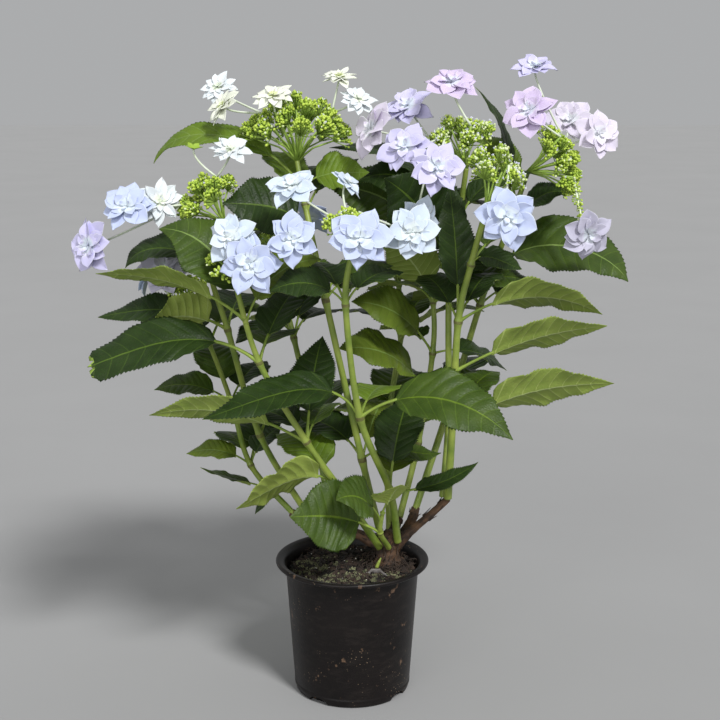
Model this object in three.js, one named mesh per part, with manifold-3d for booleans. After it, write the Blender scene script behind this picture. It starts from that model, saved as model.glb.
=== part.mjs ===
// A lacecap hydrangea in a round nursery pot: pot, compost, woody crown, and twelve shoots.
// Each shoot is a bare stem, a leafy mass and, on all but one, a flower head with starry florets.
// Millimetres and degrees, +Z up, origin at the centre of the pot's flat underside.
import * as THREE from "three";
import { mergeVertices } from "three/addons/utils/BufferGeometryUtils.js";
import Module from "manifold-3d";

const wasm = await Module();
wasm.setup();

// ---------------------------------------------------------------- driving dimensions

const GAP = 0.3; // clearance between neighbouring solids
const SMALLEST_EDGE = 0.02; // shorter edges that a joining leaves are dissolved

const POT_HEIGHT = 137.5;
const POT_FOOT_RADIUS = 58.5;
const POT_NECK_RADIUS = 67.5; // outside, just under the rim
const POT_RIM_RADIUS = 77;
const POT_RIM_HEIGHT = 4.4;
const POT_WALL = 1.9;
const POT_FLOOR = 3;
const POT_SIDES = 32;
const NOTCH_COUNT = 4;
const NOTCH_TURN = 53.5; // of the first notch from +Y
const NOTCH_WIDTH = 22;
const NOTCH_HEIGHT = 7;
const NOTCH_DEPTH = 9;

const SOIL_TOP = 127;
const SOIL_EDGE_DROP = 4; // the compost sinks a little towards the wall
const SOIL_SHOULDER = 60; // radius where that drop starts

const STEM_SIDES = 6;
const TWIG_SIDES = 3;
const STEM_STEPS = 2.5; // rings for each span of a stem
const TWIG_RADIUS = 1.1; // rays and pedicels

const PETIOLE_SHARE = 0.22; // of the leaf's whole length
const RISE_SHARE = 0.42; // how far the slope at the stem carries, as a share of the length
const DROOP_SHARE = 0.36; // and the slope at the tip
const PETIOLE_RADIUS = 1.8;
const BLADE_THICKNESS = 1.9;
const BLADE_STATIONS = [0.12, 0.42, 0.76]; // along the blade, base 0 to tip 1
const BLADE_BROADEST = 0.4;
const BASE_ROUNDNESS = 0.62; // powers of the outline towards the base and the tip
const TIP_SHARPNESS = 0.93;
const EDGE_RISE = 0.26; // how far the edges stand up at the base, as a share of half the width
const EDGE_FALL = 0.4; // and how fast that turns into a fall towards the tip
const LEAF_MARGIN = 1.3; // free space kept round each leaf

const LIMB_SIDES = 8;
const HEAD_SIDES = 7;
const FLORET_POINTS = 7;
const FLORET_WAIST = 0.6; // radius between the points, as a share of the floret's
const FLORET_CUP = 0.12; // how far the points stand forwards
const FLORET_BACK = 0.08; // depth of the closed star behind and in front of its middle
const FLORET_FRONT = 0.26;

// The woody crown: a stump and four short old arms, as [x, y, z, radius] along each limb.
const CROWN_LIMBS = [
  [[36, 8, SOIL_TOP + GAP, 22], [36, 8, 136, 15], [37, 8, 150, 12], [41, 6, 161, 8]],
  [[38, 8, 142, 9], [62, 14, 162, 6], [86, 18, 182, 5.2], [97, 20, 193, 5]],
  [[34, 10, 142, 9], [5, 22, 154, 7], [-38, 36, 164, 6], [-64, 40, 171, 5]],
  [[36, 12, 140, 9], [44, 30, 158, 7], [48, 38, 165, 6]],
  [[42, 14, 140, 9], [60, 38, 160, 7], [66, 50, 172, 5.5]],
];

// The shoots. path: foot, nodes and hub of the flower head. radius: at the foot and at the hub.
// bare: path position where the leafy mass starts; leafy: where it ends and the peduncle starts.
// leaves: [path position, turn, reach, lift, rise, droop, width, roll].
// head: spread of the bud dome, its height, distance from the hub, and the way it faces.
// florets: [x, y, z, azimuth, elevation, radius].
const SHOOTS = [
  {
    name: "front",
    path: [[46, 0, 154], [37, -25, 216], [8, -60, 299], [-5, -90, 412], [1, -100, 463]],
    radius: [3.9, 2.6],
    bare: 0.8,
    leafy: 3.3,
    leaves: [
      [1, 60, 46, 94, 80, 45, 52, 0],
      [0.95, 9, 88, 28, 5, 35, 24, 25],
      [2, -168, 152, 12, 62, -12, 50, -25],
      [2, -20, 148, -8, 40, -45, 64, 34],
      [3, -167, 70, 14, 55, -30, 42, -30],
      [3, 30, 62, 25, 60, -15, 40, 10],
    ],
    head: { spread: 23, height: 18, rise: 42, azimuth: 180, elevation: 76 },
    florets: [
      [8, -125, 477, -88, 18, 30],
      [54, -92, 478, -80, 12, 28],
      [-53, -62, 515, -110, 58, 26],
      [-4, -58, 519, -20, 45, 18],
    ],
  },
  {
    name: "left",
    path: [[28, 1, 147], [-13, -26, 219], [-43, -46, 271], [-86, -60, 352], [-107, -84, 439]],
    radius: [3.8, 2.5],
    bare: 0.8,
    leafy: 3.7,
    leaves: [
      [1, -160, 104, 16, 50, -25, 66, 45],
      [2, 178, 151, 25, 30, -15, 44, 50],
      [2, 68, 59, 92, 75, 35, 46, 0],
      [3, -172, 176, -6, 40, -18, 56, -35],
      [3, 55, 75, 72, 65, 25, 46, 0],
      [3.5, -176, 134, 44, 40, 0, 44, 30],
      [3.45, 172, 80, 94, 80, -5, 70, -40],
      [3.45, 0, 70, 60, 75, 0, 60, 30],
    ],
    head: { spread: 24, height: 16, rise: 28, azimuth: -120, elevation: 70 },
    florets: [
      [-89, -112, 452, -92, 14, 30],
      [-106, -98, 473, -100, 25, 26],
      [-52, -106, 473, -88, 14, 26],
    ],
  },
  {
    name: "far_left",
    path: [[-44, 36, 166], [-92, 12, 262], [-120, -8, 373], [-134, -18, 434], [-120, -18, 478]],
    radius: [3.4, 2.4],
    bare: 0.9,
    leafy: 3.25,
    leaves: [
      [2, 175, 128, 18, 30, -12, 42, -30],
      [2, -150, 84, 2, 35, -30, 60, 50],
      [3, -172, 80, 2, 50, -70, 40, -25],
      [3, 100, 62, 40, 60, 5, 44, 0],
    ],
    head: { spread: 36, height: 24, rise: 52, azimuth: 180, elevation: 52 },
    florets: [
      [-243, -42, 459, -125, 12, 28],
      [-207, -42, 495, -100, 30, 27],
      [-179, -28, 498, -75, 20, 24],
      [-113, -14, 545, 90, 62, 22],
    ],
  },
  {
    name: "upper_left",
    path: [[31, 13, 148], [10, 0, 240], [-25, -10, 402], [-45, 15, 491], [-53, 30, 532]],
    radius: [3.8, 2.5],
    bare: 0.85,
    leafy: 3.45,
    leaves: [
      [1, 7, 80, 4, 40, 10, 34, 20],
      [2, -140, 66, 32, 60, -5, 40, -20],
      [2, 20, 70, 30, 55, -10, 46, 20],
      [3.25, 174, 146, 24, 64, -70, 38, -30],
      [3.3, -8, 66, 16, 45, 5, 50, 40],
      [2.9, 115, 64, 50, 60, 5, 40, 0],
      [2.6, -165, 86, 50, 62, 5, 66, -50],
      [2.9, 40, 66, 56, 65, 5, 36, 10],
    ],
    head: { spread: 56, height: 34, rise: 66, azimuth: 90, elevation: 86 },
    florets: [
      [-130, 50, 601, 160, 62, 21],
      [-122, 18, 584, -150, 40, 22],
      [-74, 4, 594, -100, 55, 22],
      [-12, 40, 611, 60, 72, 20],
      [6, 30, 590, 20, 40, 21],
    ],
  },
  {
    name: "upper_mid",
    path: [[92, 22, 194], [97, 26, 275], [96, 28, 407], [104, 30, 469], [110, 16, 526]],
    radius: [3.6, 2.5],
    bare: 0.9,
    leafy: 3.3,
    leaves: [
      [2.1, -156, 72, 102, 74, 30, 86, -100],
      [3.2, 166, 132, 62, 55, -10, 44, -15],
      [2, 35, 78, 40, 60, -5, 46, 20],
      [3, 178, 102, 40, 65, -35, 52, -40],
      [3, 12, 76, 50, 75, -10, 32, 30],
    ],
    head: { spread: 42, height: 28, rise: 54, azimuth: 180, elevation: 68 },
    florets: [
      [20, -10, 564, -150, 22, 30],
      [49, -42, 550, -110, 30, 28],
      [77, -64, 533, -78, 18, 28],
      [94, 0, 606, 60, 62, 27],
      [54, 34, 583, 130, 45, 28],
      [62, -36, 482, -70, -8, 24],
    ],
  },
  {
    name: "middle",
    path: [[49, 39, 166], [68, 58, 240], [82, 58, 335], [82, 60, 387], [72, 66, 450]],
    radius: [3.4, 2.2],
    bare: 0.9,
    leafy: 4,
    leaves: [
      [1.5, -148, 105, 63, 65, 0, 68, -30],
      [2, -154, 92, 61, 60, 5, 56, -45],
      [2, 15, 78, -20, 15, -45, 46, 10],
      [3, 178, 50, 72, 75, 45, 56, 55],
      [3, 0, 106, 22, 40, -20, 46, 20],
      [4, 178, 98, 56, 65, 5, 64, -50],
      [4, 60, 50, 46, 70, 15, 36, 0],
    ],
    florets: [],
  },
  {
    name: "right",
    path: [[97, 17, 194], [99, -4, 279], [102, -20, 383], [112, -34, 440], [124, -45, 492]],
    radius: [4, 2.6],
    bare: 0.9,
    leafy: 3.2,
    leaves: [
      [1, -2, 157, 41, 30, 0, 52, -55],
      [1.5, -4, 145, 47, 30, 5, 50, -45],
      [2, 0, 138, 7, 35, -30, 52, -40],
      [2, 118, 20, 130, 88, 75, 42, 0],
      [3, -30, 52, 26, 60, -10, 34, 20],
    ],
    head: { spread: 31, height: 32, rise: 66, azimuth: -10, elevation: 77 },
    florets: [[140, -78, 490, -84, 10, 31]],
  },
  {
    name: "far_right",
    path: [[65, 48, 170], [104, 86, 280], [132, 86, 380], [156, 66, 460], [174, 54, 520]],
    radius: [3.7, 2.4],
    bare: 0.9,
    leafy: 3.6,
    leaves: [
      [2, 25, 80, 10, 40, -30, 48, 10],
      [2, 170, 74, 26, 50, -10, 46, 0],
      [2.3, -18, 142, 14, 68, -58, 84, 30],
      [3.3, 175, 40, 68, 80, -20, 44, -30],
      [3.4, 160, 44, 100, 80, 40, 30, 0],
      [3.2, -20, 56, 26, 40, -20, 32, 40],
    ],
    head: { spread: 40, height: 20, rise: 54, azimuth: -14, elevation: 20 },
    florets: [
      [170, 28, 579, -110, 32, 29],
      [179, 62, 620, 40, 66, 25],
      [220, 90, 567, 60, 40, 28],
      [243, 58, 556, -20, 25, 27],
      [224, -12, 466, -70, -12, 28],
    ],
  },
  {
    name: "low_left",
    path: [[-61, 39, 170], [-104, 40, 222], [-122, 34, 290], [-142, 30, 350], [-160, 14, 400]],
    radius: [3.2, 2],
    bare: 0.25,
    leafy: 3.3,
    leaves: [
      [0.35, -150, 26, -14, 30, -60, 16, 0],
      [0.55, -164, 70, 28, 20, 25, 28, 0],
      [1, 180, 66, 12, 40, -20, 38, -15],
      [1, 40, 40, 34, 70, 10, 36, 0],
      [2, -173, 77, 15, 40, -20, 42, -20],
      [2, 60, 66, 30, 55, -5, 44, 0],
      [3, 130, 70, 26, 55, -10, 40, 0],
    ],
    head: { spread: 22, height: 9, rise: 22, azimuth: 150, elevation: 70 },
    florets: [
      [-182, 2, 430, -90, 30, 26],
      [-198, 24, 420, 170, 20, 24],
    ],
  },
  {
    name: "basal",
    path: [[37, -2, 148], [28, -24, 172], [30, -34, 196]],
    radius: [3, 2],
    bare: 0.7,
    leafy: 2,
    leaves: [
      [1, -155, 96, 30, 35, 5, 70, -70],
      [1.6, -134, 62, 36, 60, -10, 48, -50],
      [2, -60, 34, 38, 60, 30, 40, 0],
    ],
    florets: [],
  },
  {
    name: "back_left",
    path: [[-20, 31, 160], [-40, 80, 250], [-62, 112, 340], [-78, 132, 400], [-84, 138, 432]],
    radius: [3.6, 2.4],
    bare: 0.9,
    leafy: 3.3,
    pairs: { first: 1, last: 3, turn: 150, length: 112 },
    leaves: [],
    head: { spread: 34, height: 14, rise: 30, azimuth: 110, elevation: 65 },
    florets: [
      [-88, 178, 440, 95, 20, 28],
      [-130, 156, 444, 150, 25, 27],
      [-46, 168, 462, 60, 35, 26],
    ],
  },
  {
    name: "back_right",
    path: [[38, 30, 155], [38, 96, 250], [52, 130, 340], [50, 152, 390], [50, 160, 422]],
    radius: [3.6, 2.4],
    bare: 0.9,
    leafy: 3.3,
    pairs: { first: 1, last: 3, turn: 60, length: 112 },
    leaves: [],
    head: { spread: 34, height: 14, rise: 30, azimuth: 80, elevation: 65 },
    florets: [
      [56, 202, 432, 85, 15, 28],
      [98, 180, 438, 40, 25, 27],
      [20, 184, 462, 110, 40, 26],
    ],
  },
];

// Leaves that fill the side of the crown away from the front, tried at every node.
const FILL_TURNS = [70, 130];
const FILL_REACH = 84;
const FILL_LIFT = 26;
const FILL_RISE = 50;
const FILL_DROOP = -15;
const FILL_WIDTH = 50;

// Where a leaf would touch another solid it is turned or lifted by these steps, in this order.
const NUDGES = [
  [0, 0], [0, 8], [0, -8], [8, 0], [-8, 0], [0, 16], [0, -16], [8, 10], [-8, 10],
  [8, -10], [-8, -10], [16, 0], [-16, 0], [16, 14], [-16, 14], [0, 26], [0, -26], [24, 0], [-24, 0],
];

// ---------------------------------------------------------------- vectors, curves and solids

const vec = (x, y, z) => new THREE.Vector3(x, y, z);
const rad = THREE.MathUtils.degToRad;
const heading = (azimuth, elevation) =>
  vec(
    Math.cos(rad(azimuth)) * Math.cos(rad(elevation)),
    Math.sin(rad(azimuth)) * Math.cos(rad(elevation)),
    Math.sin(rad(elevation)),
  );

// A small seeded random source, so that every build grows the same plant.
let seed = 2024;
function random(low, high) {
  seed = (seed * 1664525 + 1013904223) % 4294967296;
  return low + ((high - low) * seed) / 4294967296;
}

// The point at position s of a smooth curve through the given points; s counts points from 0.
function curvePoint(points, s) {
  const last = points.length - 1;
  const i = Math.min(Math.floor(s), last - 1);
  const f = s - i;
  const f2 = f * f;
  const f3 = f2 * f;
  const p1 = vec(...points[i]);
  const p2 = vec(...points[i + 1]);
  const p0 = i > 0 ? vec(...points[i - 1]) : p1.clone().multiplyScalar(2).sub(p2);
  const p3 = i + 2 <= last ? vec(...points[i + 2]) : p2.clone().multiplyScalar(2).sub(p1);
  return vec(0, 0, 0)
    .addScaledVector(p0, 0.5 * (2 * f2 - f - f3))
    .addScaledVector(p1, 0.5 * (2 - 5 * f2 + 3 * f3))
    .addScaledVector(p2, 0.5 * (f + 4 * f2 - 3 * f3))
    .addScaledVector(p3, 0.5 * (f3 - f2));
}

function curveSlope(points, s) {
  const h = 0.01;
  const last = points.length - 1;
  const a = Math.max(s - h, 0);
  const b = Math.min(s + h, last);
  return curvePoint(points, b).sub(curvePoint(points, a)).divideScalar(b - a);
}

// A ring of points round a centre, square to the given direction.
function ring(centre, direction, radius, sides) {
  const side = direction.clone().cross(vec(0, 1, 0)).normalize();
  const front = side.clone().cross(direction).normalize();
  return Array.from({ length: sides }, (_, k) => {
    const a = (2 * Math.PI * k) / sides;
    return centre
      .clone()
      .addScaledVector(side, radius * Math.cos(a))
      .addScaledVector(front, -radius * Math.sin(a));
  });
}

// The triangles between two rings. The diagonals alternate, so that the upper and the lower face of a
// flat section fold along the same lines and can't cross. A ring of one point is an apex.
function band(a, b) {
  const n = Math.max(a.length, b.length);
  const next = (k) => (k + 1) % n;
  const sides = Array.from({ length: n }, (_, k) => k);
  if (a.length === 1) return sides.map((k) => [a[0], b[next(k)], b[k]]);
  if (b.length === 1) return sides.map((k) => [a[k], a[next(k)], b[0]]);
  return sides.flatMap((k) => {
    const m = next(k);
    if (k % 2) return [[a[k], a[m], b[m]], [a[k], b[m], b[k]]];
    return [[a[k], a[m], b[k]], [a[m], b[m], b[k]]];
  });
}

// Triangles of a closed skin over rings of equal count, shut by flat caps.
function skin(rings) {
  const triangles = rings.slice(1).flatMap((b, r) => band(rings[r], b));
  const [first, end] = [rings[0], rings[rings.length - 1]];
  for (let k = 1; k + 1 < first.length; k++) triangles.push([first[0], first[k + 1], first[k]]);
  for (let k = 1; k + 1 < end.length; k++) triangles.push([end[0], end[k], end[k + 1]]);
  return triangles;
}

function solidFromGeometry(geometry) {
  const bare = geometry.clone();
  bare.deleteAttribute("normal");
  bare.deleteAttribute("uv");
  const merged = mergeVertices(bare, 1e-4);
  const mesh = new wasm.Mesh({
    numProp: 3,
    vertProperties: merged.attributes.position.array,
    triVerts: new Uint32Array(merged.index.array),
  });
  return new wasm.Manifold(mesh);
}

function solidFromTriangles(triangles) {
  const positions = triangles.flat().flatMap((p) => [p.x, p.y, p.z]);
  const geometry = new THREE.BufferGeometry();
  geometry.setAttribute("position", new THREE.Float32BufferAttribute(positions, 3));
  return solidFromGeometry(geometry);
}

function geometryFromSolid(solid) {
  const mesh = solid.getMesh();
  const geometry = new THREE.BufferGeometry();
  geometry.setAttribute("position", new THREE.BufferAttribute(new Float32Array(mesh.vertProperties), 3));
  geometry.setIndex(new THREE.BufferAttribute(new Uint32Array(mesh.triVerts), 1));
  geometry.computeVertexNormals();
  return geometry;
}

// Joins solids into one body: a hollow sealed by the joining is filled, and a loose scrap is dropped.
function fuse(solids) {
  const whole = solids.reduce((sum, piece) => sum.add(piece));
  const bodies = whole.decompose().sort((a, b) => b.volume() - a.volume());
  return bodies[0].setTolerance(SMALLEST_EDGE);
}

function limb(points, grow = 0) {
  const rings = points.map(([x, y, z, radius], i) => {
    const before = vec(...points[Math.max(i - 1, 0)]);
    const after = vec(...points[Math.min(i + 1, points.length - 1)]);
    const upright = i === 0 && z < SOIL_TOP + 1;
    const direction = upright ? vec(0, 0, 1) : after.sub(before).normalize();
    const centre = vec(x, y, z);
    if (i === points.length - 1) centre.addScaledVector(direction, grow);
    return ring(centre, direction, radius + grow, LIMB_SIDES);
  });
  return skin(rings);
}

function twig(from, to) {
  const direction = to.clone().sub(from).normalize();
  return skin([from, to].map((end) => ring(end, direction, TWIG_RADIUS, TWIG_SIDES)));
}

// ---------------------------------------------------------------- leaves

// The midrib is a cubic curve in the upright plane of the leaf's turn. It leaves the stem at the
// slope `rise` and ends at the slope `droop`; roll tips the blade about it.
function midrib(leaf, t) {
  const out = heading(leaf.turn, 0);
  const length = Math.hypot(leaf.reach, leaf.lift);
  const slope = (angle, share) => heading(leaf.turn, angle).multiplyScalar(share * length);
  const tip = leaf.root.clone().addScaledVector(out, leaf.reach).add(vec(0, 0, leaf.lift));
  const curve = new THREE.CubicBezierCurve3(
    leaf.root,
    leaf.root.clone().add(slope(leaf.rise, RISE_SHARE)),
    tip.clone().sub(slope(leaf.droop, DROOP_SHARE)),
    tip,
  );
  const at = curve.getPoint(t);
  const along = curve.getPoint(Math.min(t + 0.01, 1)).sub(curve.getPoint(Math.max(t - 0.01, 0))).normalize();
  const level = heading(leaf.turn - 90, 0);
  const up0 = level.clone().cross(along);
  const roll = rad(leaf.roll) * Math.min(1, t / PETIOLE_SHARE);
  const side = level.clone().multiplyScalar(Math.cos(roll)).addScaledVector(up0, -Math.sin(roll));
  const up = up0.multiplyScalar(Math.cos(roll)).addScaledVector(level, Math.sin(roll));
  return { at, side, up };
}

// Half the blade's width at u: rounded at the base, drawn out to a point at the tip.
function halfWidth(leaf, u) {
  const base = Math.pow(u / BLADE_BROADEST, BASE_ROUNDNESS);
  const tip = Math.pow((1 - u) / (1 - BLADE_BROADEST), TIP_SHARPNESS);
  return 0.5 * leaf.width * base * tip;
}

// A flat four-cornered section across the midrib, with its two edges raised.
function diamond({ at, side, up }, half, edgeRise, thick) {
  const corner = (across, above) => at.clone().addScaledVector(side, across).addScaledVector(up, above);
  return [corner(half, edgeRise), corner(0, -thick), corner(-half, edgeRise), corner(0, thick)];
}

function bladeRings(leaf, margin) {
  const rings = BLADE_STATIONS.map((u) => {
    const half = halfWidth(leaf, u) + margin;
    const t = PETIOLE_SHARE + (1 - PETIOLE_SHARE) * u;
    const edgeRise = half * (EDGE_RISE - EDGE_FALL * u);
    return diamond(midrib(leaf, t), half, edgeRise, BLADE_THICKNESS / 2 + margin);
  });
  rings.push([midrib(leaf, 1).at]);
  return rings;
}

function petioleRing(leaf, t, margin) {
  const radius = PETIOLE_RADIUS + margin;
  return diamond(midrib(leaf, t), radius, 0, radius);
}

// A leaf from the given place on its midrib, 0 in the middle of its stem, to its tip.
function leafSkin(leaf, margin = 0, from = 0) {
  const petiole = from < PETIOLE_SHARE ? [petioleRing(leaf, from, margin)] : [];
  return skin([...petiole, petioleRing(leaf, PETIOLE_SHARE, margin), ...bladeRings(leaf, margin)]);
}

// ---------------------------------------------------------------- flower heads

// A pointed star, cupped forwards, as the closed shape of a floret's sepals.
function star(centre, facing, radius) {
  const across = heading(0, 0).cross(facing);
  const side = across.lengthSq() > 0.1 ? across.normalize() : vec(0, 1, 0);
  const top = facing.clone().cross(side);
  const outline = Array.from({ length: 2 * FLORET_POINTS }, (_, k) => {
    const a = (Math.PI * k) / FLORET_POINTS;
    const r = radius * (k % 2 ? FLORET_WAIST : 1);
    return centre
      .clone()
      .addScaledVector(side, r * Math.cos(a))
      .addScaledVector(top, r * Math.sin(a))
      .addScaledVector(facing, k % 2 ? 0 : FLORET_CUP * radius);
  });
  const apex = (share) => [centre.clone().addScaledVector(facing, share * radius)];
  return skin([apex(-FLORET_BACK), outline, apex(FLORET_FRONT)]);
}

// The buds together make a low dome on the bundle of rays that fan out from the hub.
function headFrame(shoot) {
  const axis = heading(shoot.head.azimuth, shoot.head.elevation);
  const hub = vec(...shoot.path[shoot.path.length - 1]);
  const at = (along) => hub.clone().addScaledVector(axis, along);
  return { axis, at };
}

function budDome(shoot) {
  const { spread, height, rise } = shoot.head;
  const { axis, at } = headFrame(shoot);
  const slice = (along, radius) => ring(at(along), axis, radius, HEAD_SIDES);
  return skin([
    slice(-1, 1.6),
    slice(0.5 * (rise - height), 3),
    slice(rise - height, 0.9 * spread),
    slice(rise - 0.5 * height, spread),
    slice(rise, 0.5 * spread),
  ]);
}

// A pedicel starts inside the rim of the dome, on the side of its floret.
function pedicelRoot(shoot, floretCentre) {
  const { spread, height, rise } = shoot.head;
  const { axis, at } = headFrame(shoot);
  const middle = at(rise - 0.6 * height);
  const out = floretCentre.clone().sub(middle).projectOnPlane(axis).normalize();
  return middle.addScaledVector(out, 0.6 * spread);
}

function bloomParts(shoot) {
  const parts = [budDome(shoot)];
  for (const floret of shoot.florets) {
    const [x, y, z, azimuth, elevation, radius] = floret;
    const centre = vec(x, y, z);
    parts.push(star(centre, heading(azimuth, elevation), radius));
    parts.push(twig(pedicelRoot(shoot, centre), centre));
  }
  return parts;
}

// ---------------------------------------------------------------- shoots

function tube(shoot, from, to) {
  const spans = Math.max(1, Math.round((to - from) * STEM_STEPS));
  const last = shoot.path.length - 1;
  const rings = Array.from({ length: spans + 1 }, (_, k) => {
    const s = from + ((to - from) * k) / spans;
    const radius = THREE.MathUtils.lerp(shoot.radius[0], shoot.radius[1], s / last);
    return ring(curvePoint(shoot.path, s), curveSlope(shoot.path, s).normalize(), radius, STEM_SIDES);
  });
  return skin(rings);
}

// The path position a small gap further up the shoot.
const pastGap = (shoot, s) => s + GAP / curveSlope(shoot.path, s).length();

function boxOf(triangles) {
  return new THREE.Box3().setFromPoints(triangles.flat());
}

// Does an edge of the first triangle pass through the second?
function edgesPierce(a, b) {
  const e1 = b[1].clone().sub(b[0]);
  const e2 = b[2].clone().sub(b[0]);
  return a.some((start, k) => {
    const ray = a[(k + 1) % 3].clone().sub(start);
    const h = ray.clone().cross(e2);
    const det = e1.dot(h);
    if (Math.abs(det) < 1e-12) return false;
    const s = start.clone().sub(b[0]);
    const u = s.dot(h) / det;
    if (u < 0 || u > 1) return false;
    const q = s.clone().cross(e1);
    const v = ray.dot(q) / det;
    if (v < 0 || u + v > 1) return false;
    const t = e2.dot(q) / det;
    return t >= 0 && t <= 1;
  });
}

function touches(soup, placed) {
  if (!placed.box.intersectsBox(boxOf(soup))) return false;
  return soup.some((a) => {
    const box = boxOf([a]);
    const near = placed.triangles.filter((_, i) => box.intersectsBox(placed.boxes[i]));
    return near.some((b) => edgesPierce(a, b) || edgesPierce(b, a));
  });
}

function obstacle(owner, triangles) {
  return { owner, triangles, box: boxOf(triangles), boxes: triangles.map((t) => boxOf([t])) };
}

const obstacles = [];

// A leaf keeps clear of every solid, apart from its own petiole where it leaves its own shoot.
function isFree(shoot, leaf) {
  const whole = leafSkin(leaf, LEAF_MARGIN);
  const blade = leafSkin(leaf, LEAF_MARGIN, PETIOLE_SHARE);
  return !obstacles.some((placed) => touches(placed.owner === shoot.name ? blade : whole, placed));
}

function settle(shoot, wish) {
  for (const [turn, lift] of NUDGES) {
    const leaf = { ...wish, turn: wish.turn + turn, lift: wish.lift + lift };
    if (isFree(shoot, leaf)) {
      obstacles.push(obstacle(shoot.name, leafSkin(leaf)));
      return leaf;
    }
  }
  return null;
}

function leafAt(shoot, [s, turn, reach, lift, rise, droop, width, roll]) {
  return { s, root: curvePoint(shoot.path, s), turn, reach, lift, rise, droop, width, roll };
}

// Opposite pairs, each turned a quarter from the pair below and a little smaller towards the top.
function pairedLeaves(shoot) {
  const { first, last, turn, length } = shoot.pairs;
  const leaves = [];
  for (let s = first; s <= last; s++) {
    for (const across of [0, 180]) {
      const size = length * random(0.82, 1.08) * (1 - 0.08 * (s - first));
      const around = turn + 90 * (s - first) + across + random(-12, 12);
      const lift = random(8, 34);
      const rise = random(40, 60);
      const droop = random(-30, -5);
      const width = random(0.42, 0.52) * size;
      leaves.push(leafAt(shoot, [s, around, 0.94 * size, lift, rise, droop, width, 0]));
    }
  }
  return leaves;
}

function fillLeaves(shoot) {
  const leaves = [];
  for (let s = Math.ceil(shoot.bare); s <= shoot.leafy; s++) {
    for (const turn of FILL_TURNS) {
      const size = random(0.8, 1.15);
      leaves.push(
        leafAt(shoot, [
          s,
          turn + random(-15, 15),
          FILL_REACH * size,
          FILL_LIFT + random(-14, 14),
          FILL_RISE,
          FILL_DROOP,
          FILL_WIDTH * size,
          random(-14, 14),
        ]),
      );
    }
  }
  return leaves;
}

// Stems and flower heads are placed first, then the leaves of every shoot, then the filling leaves.
obstacles.push(...CROWN_LIMBS.map((points) => obstacle("crown", limb(points))));
for (const shoot of SHOOTS) {
  obstacles.push(obstacle("stem", tube(shoot, 0, shoot.bare)));
  obstacles.push(obstacle(shoot.name, tube(shoot, shoot.bare, shoot.leafy)));
  if (shoot.head) {
    obstacles.push(obstacle("bloom", tube(shoot, shoot.leafy, shoot.path.length - 1)));
    obstacles.push(...bloomParts(shoot).map((part) => obstacle("bloom", part)));
  }
}
for (const shoot of SHOOTS) {
  const wishes = shoot.pairs ? pairedLeaves(shoot) : shoot.leaves.map((row) => leafAt(shoot, row));
  shoot.grown = wishes.map((wish) => settle(shoot, wish)).filter(Boolean);
}
for (const shoot of SHOOTS) {
  const filling = fillLeaves(shoot).map((wish) => settle(shoot, wish));
  shoot.grown.push(...filling.filter(Boolean));
}

// ---------------------------------------------------------------- pot, compost and crown

const potOuter = (z) =>
  THREE.MathUtils.lerp(POT_FOOT_RADIUS, POT_NECK_RADIUS, z / (POT_HEIGHT - POT_RIM_HEIGHT));
const potInner = (z) => potOuter(z) - POT_WALL;

const lathe = (profile, sides) =>
  solidFromGeometry(
    new THREE.LatheGeometry(
      profile.map(([r, z]) => new THREE.Vector2(r, z)),
      sides,
    ).rotateX(Math.PI / 2),
  );

function potSolid() {
  const rimBase = POT_HEIGHT - POT_RIM_HEIGHT;
  const body = lathe(
    [
      [0, 0],
      [POT_FOOT_RADIUS - 3.2, 0],
      [POT_FOOT_RADIUS - 0.9, 1],
      [potOuter(3.4), 3.4],
      [potOuter(rimBase), rimBase],
      [POT_RIM_RADIUS - 1.2, rimBase],
      [POT_RIM_RADIUS, rimBase + 1.3],
      [POT_RIM_RADIUS, POT_HEIGHT - 1.3],
      [POT_RIM_RADIUS - 1.3, POT_HEIGHT],
      [potInner(POT_HEIGHT) + 1.5, POT_HEIGHT],
      [potInner(rimBase), rimBase - 2],
      [potInner(POT_FLOOR), POT_FLOOR],
      [0, POT_FLOOR],
    ],
    POT_SIDES,
  );
  const notches = Array.from({ length: NOTCH_COUNT }, (_, k) => {
    const arch = new THREE.CylinderGeometry(1, 1, 2 * NOTCH_DEPTH, 10);
    arch.scale(NOTCH_WIDTH / 2, 1, NOTCH_HEIGHT);
    arch.translate(0, POT_FOOT_RADIUS + 2, 0);
    arch.rotateZ(rad(NOTCH_TURN + (360 * k) / NOTCH_COUNT));
    return solidFromGeometry(arch);
  });
  return notches.reduce((whole, notch) => whole.subtract(notch), body);
}

function soilSolid() {
  const edge = SOIL_TOP - SOIL_EDGE_DROP;
  return lathe(
    [
      [0, POT_FLOOR + GAP],
      [potInner(POT_FLOOR) - GAP, POT_FLOOR + GAP],
      [potInner(edge) - GAP, edge],
      [SOIL_SHOULDER, SOIL_TOP],
      [0, SOIL_TOP],
    ],
    POT_SIDES,
  );
}

const crownSolid = (grow) => fuse(CROWN_LIMBS.map((points) => solidFromTriangles(limb(points, grow))));

// ---------------------------------------------------------------- the plant

const material = (color, roughness) => new THREE.MeshStandardMaterial({ color, roughness, metalness: 0 });
const MATERIALS = {
  pot: material(0x1d1a18, 0.55),
  soil: material(0x2c1f17, 0.95),
  crown: material(0x6b4f35, 0.85),
  stem: material(0x86a83a, 0.5),
  leaf: material(0x2f5a27, 0.45),
  bloom: material(0xc3c8ee, 0.6),
};

const plant = new THREE.Group();

function addNode(name, solid, look) {
  const mesh = new THREE.Mesh(geometryFromSolid(solid), look);
  mesh.name = name;
  plant.add(mesh);
}

addNode("pot", potSolid(), MATERIALS.pot);
addNode("soil", soilSolid(), MATERIALS.soil);
addNode("woody_crown", crownSolid(0), MATERIALS.crown);

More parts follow.
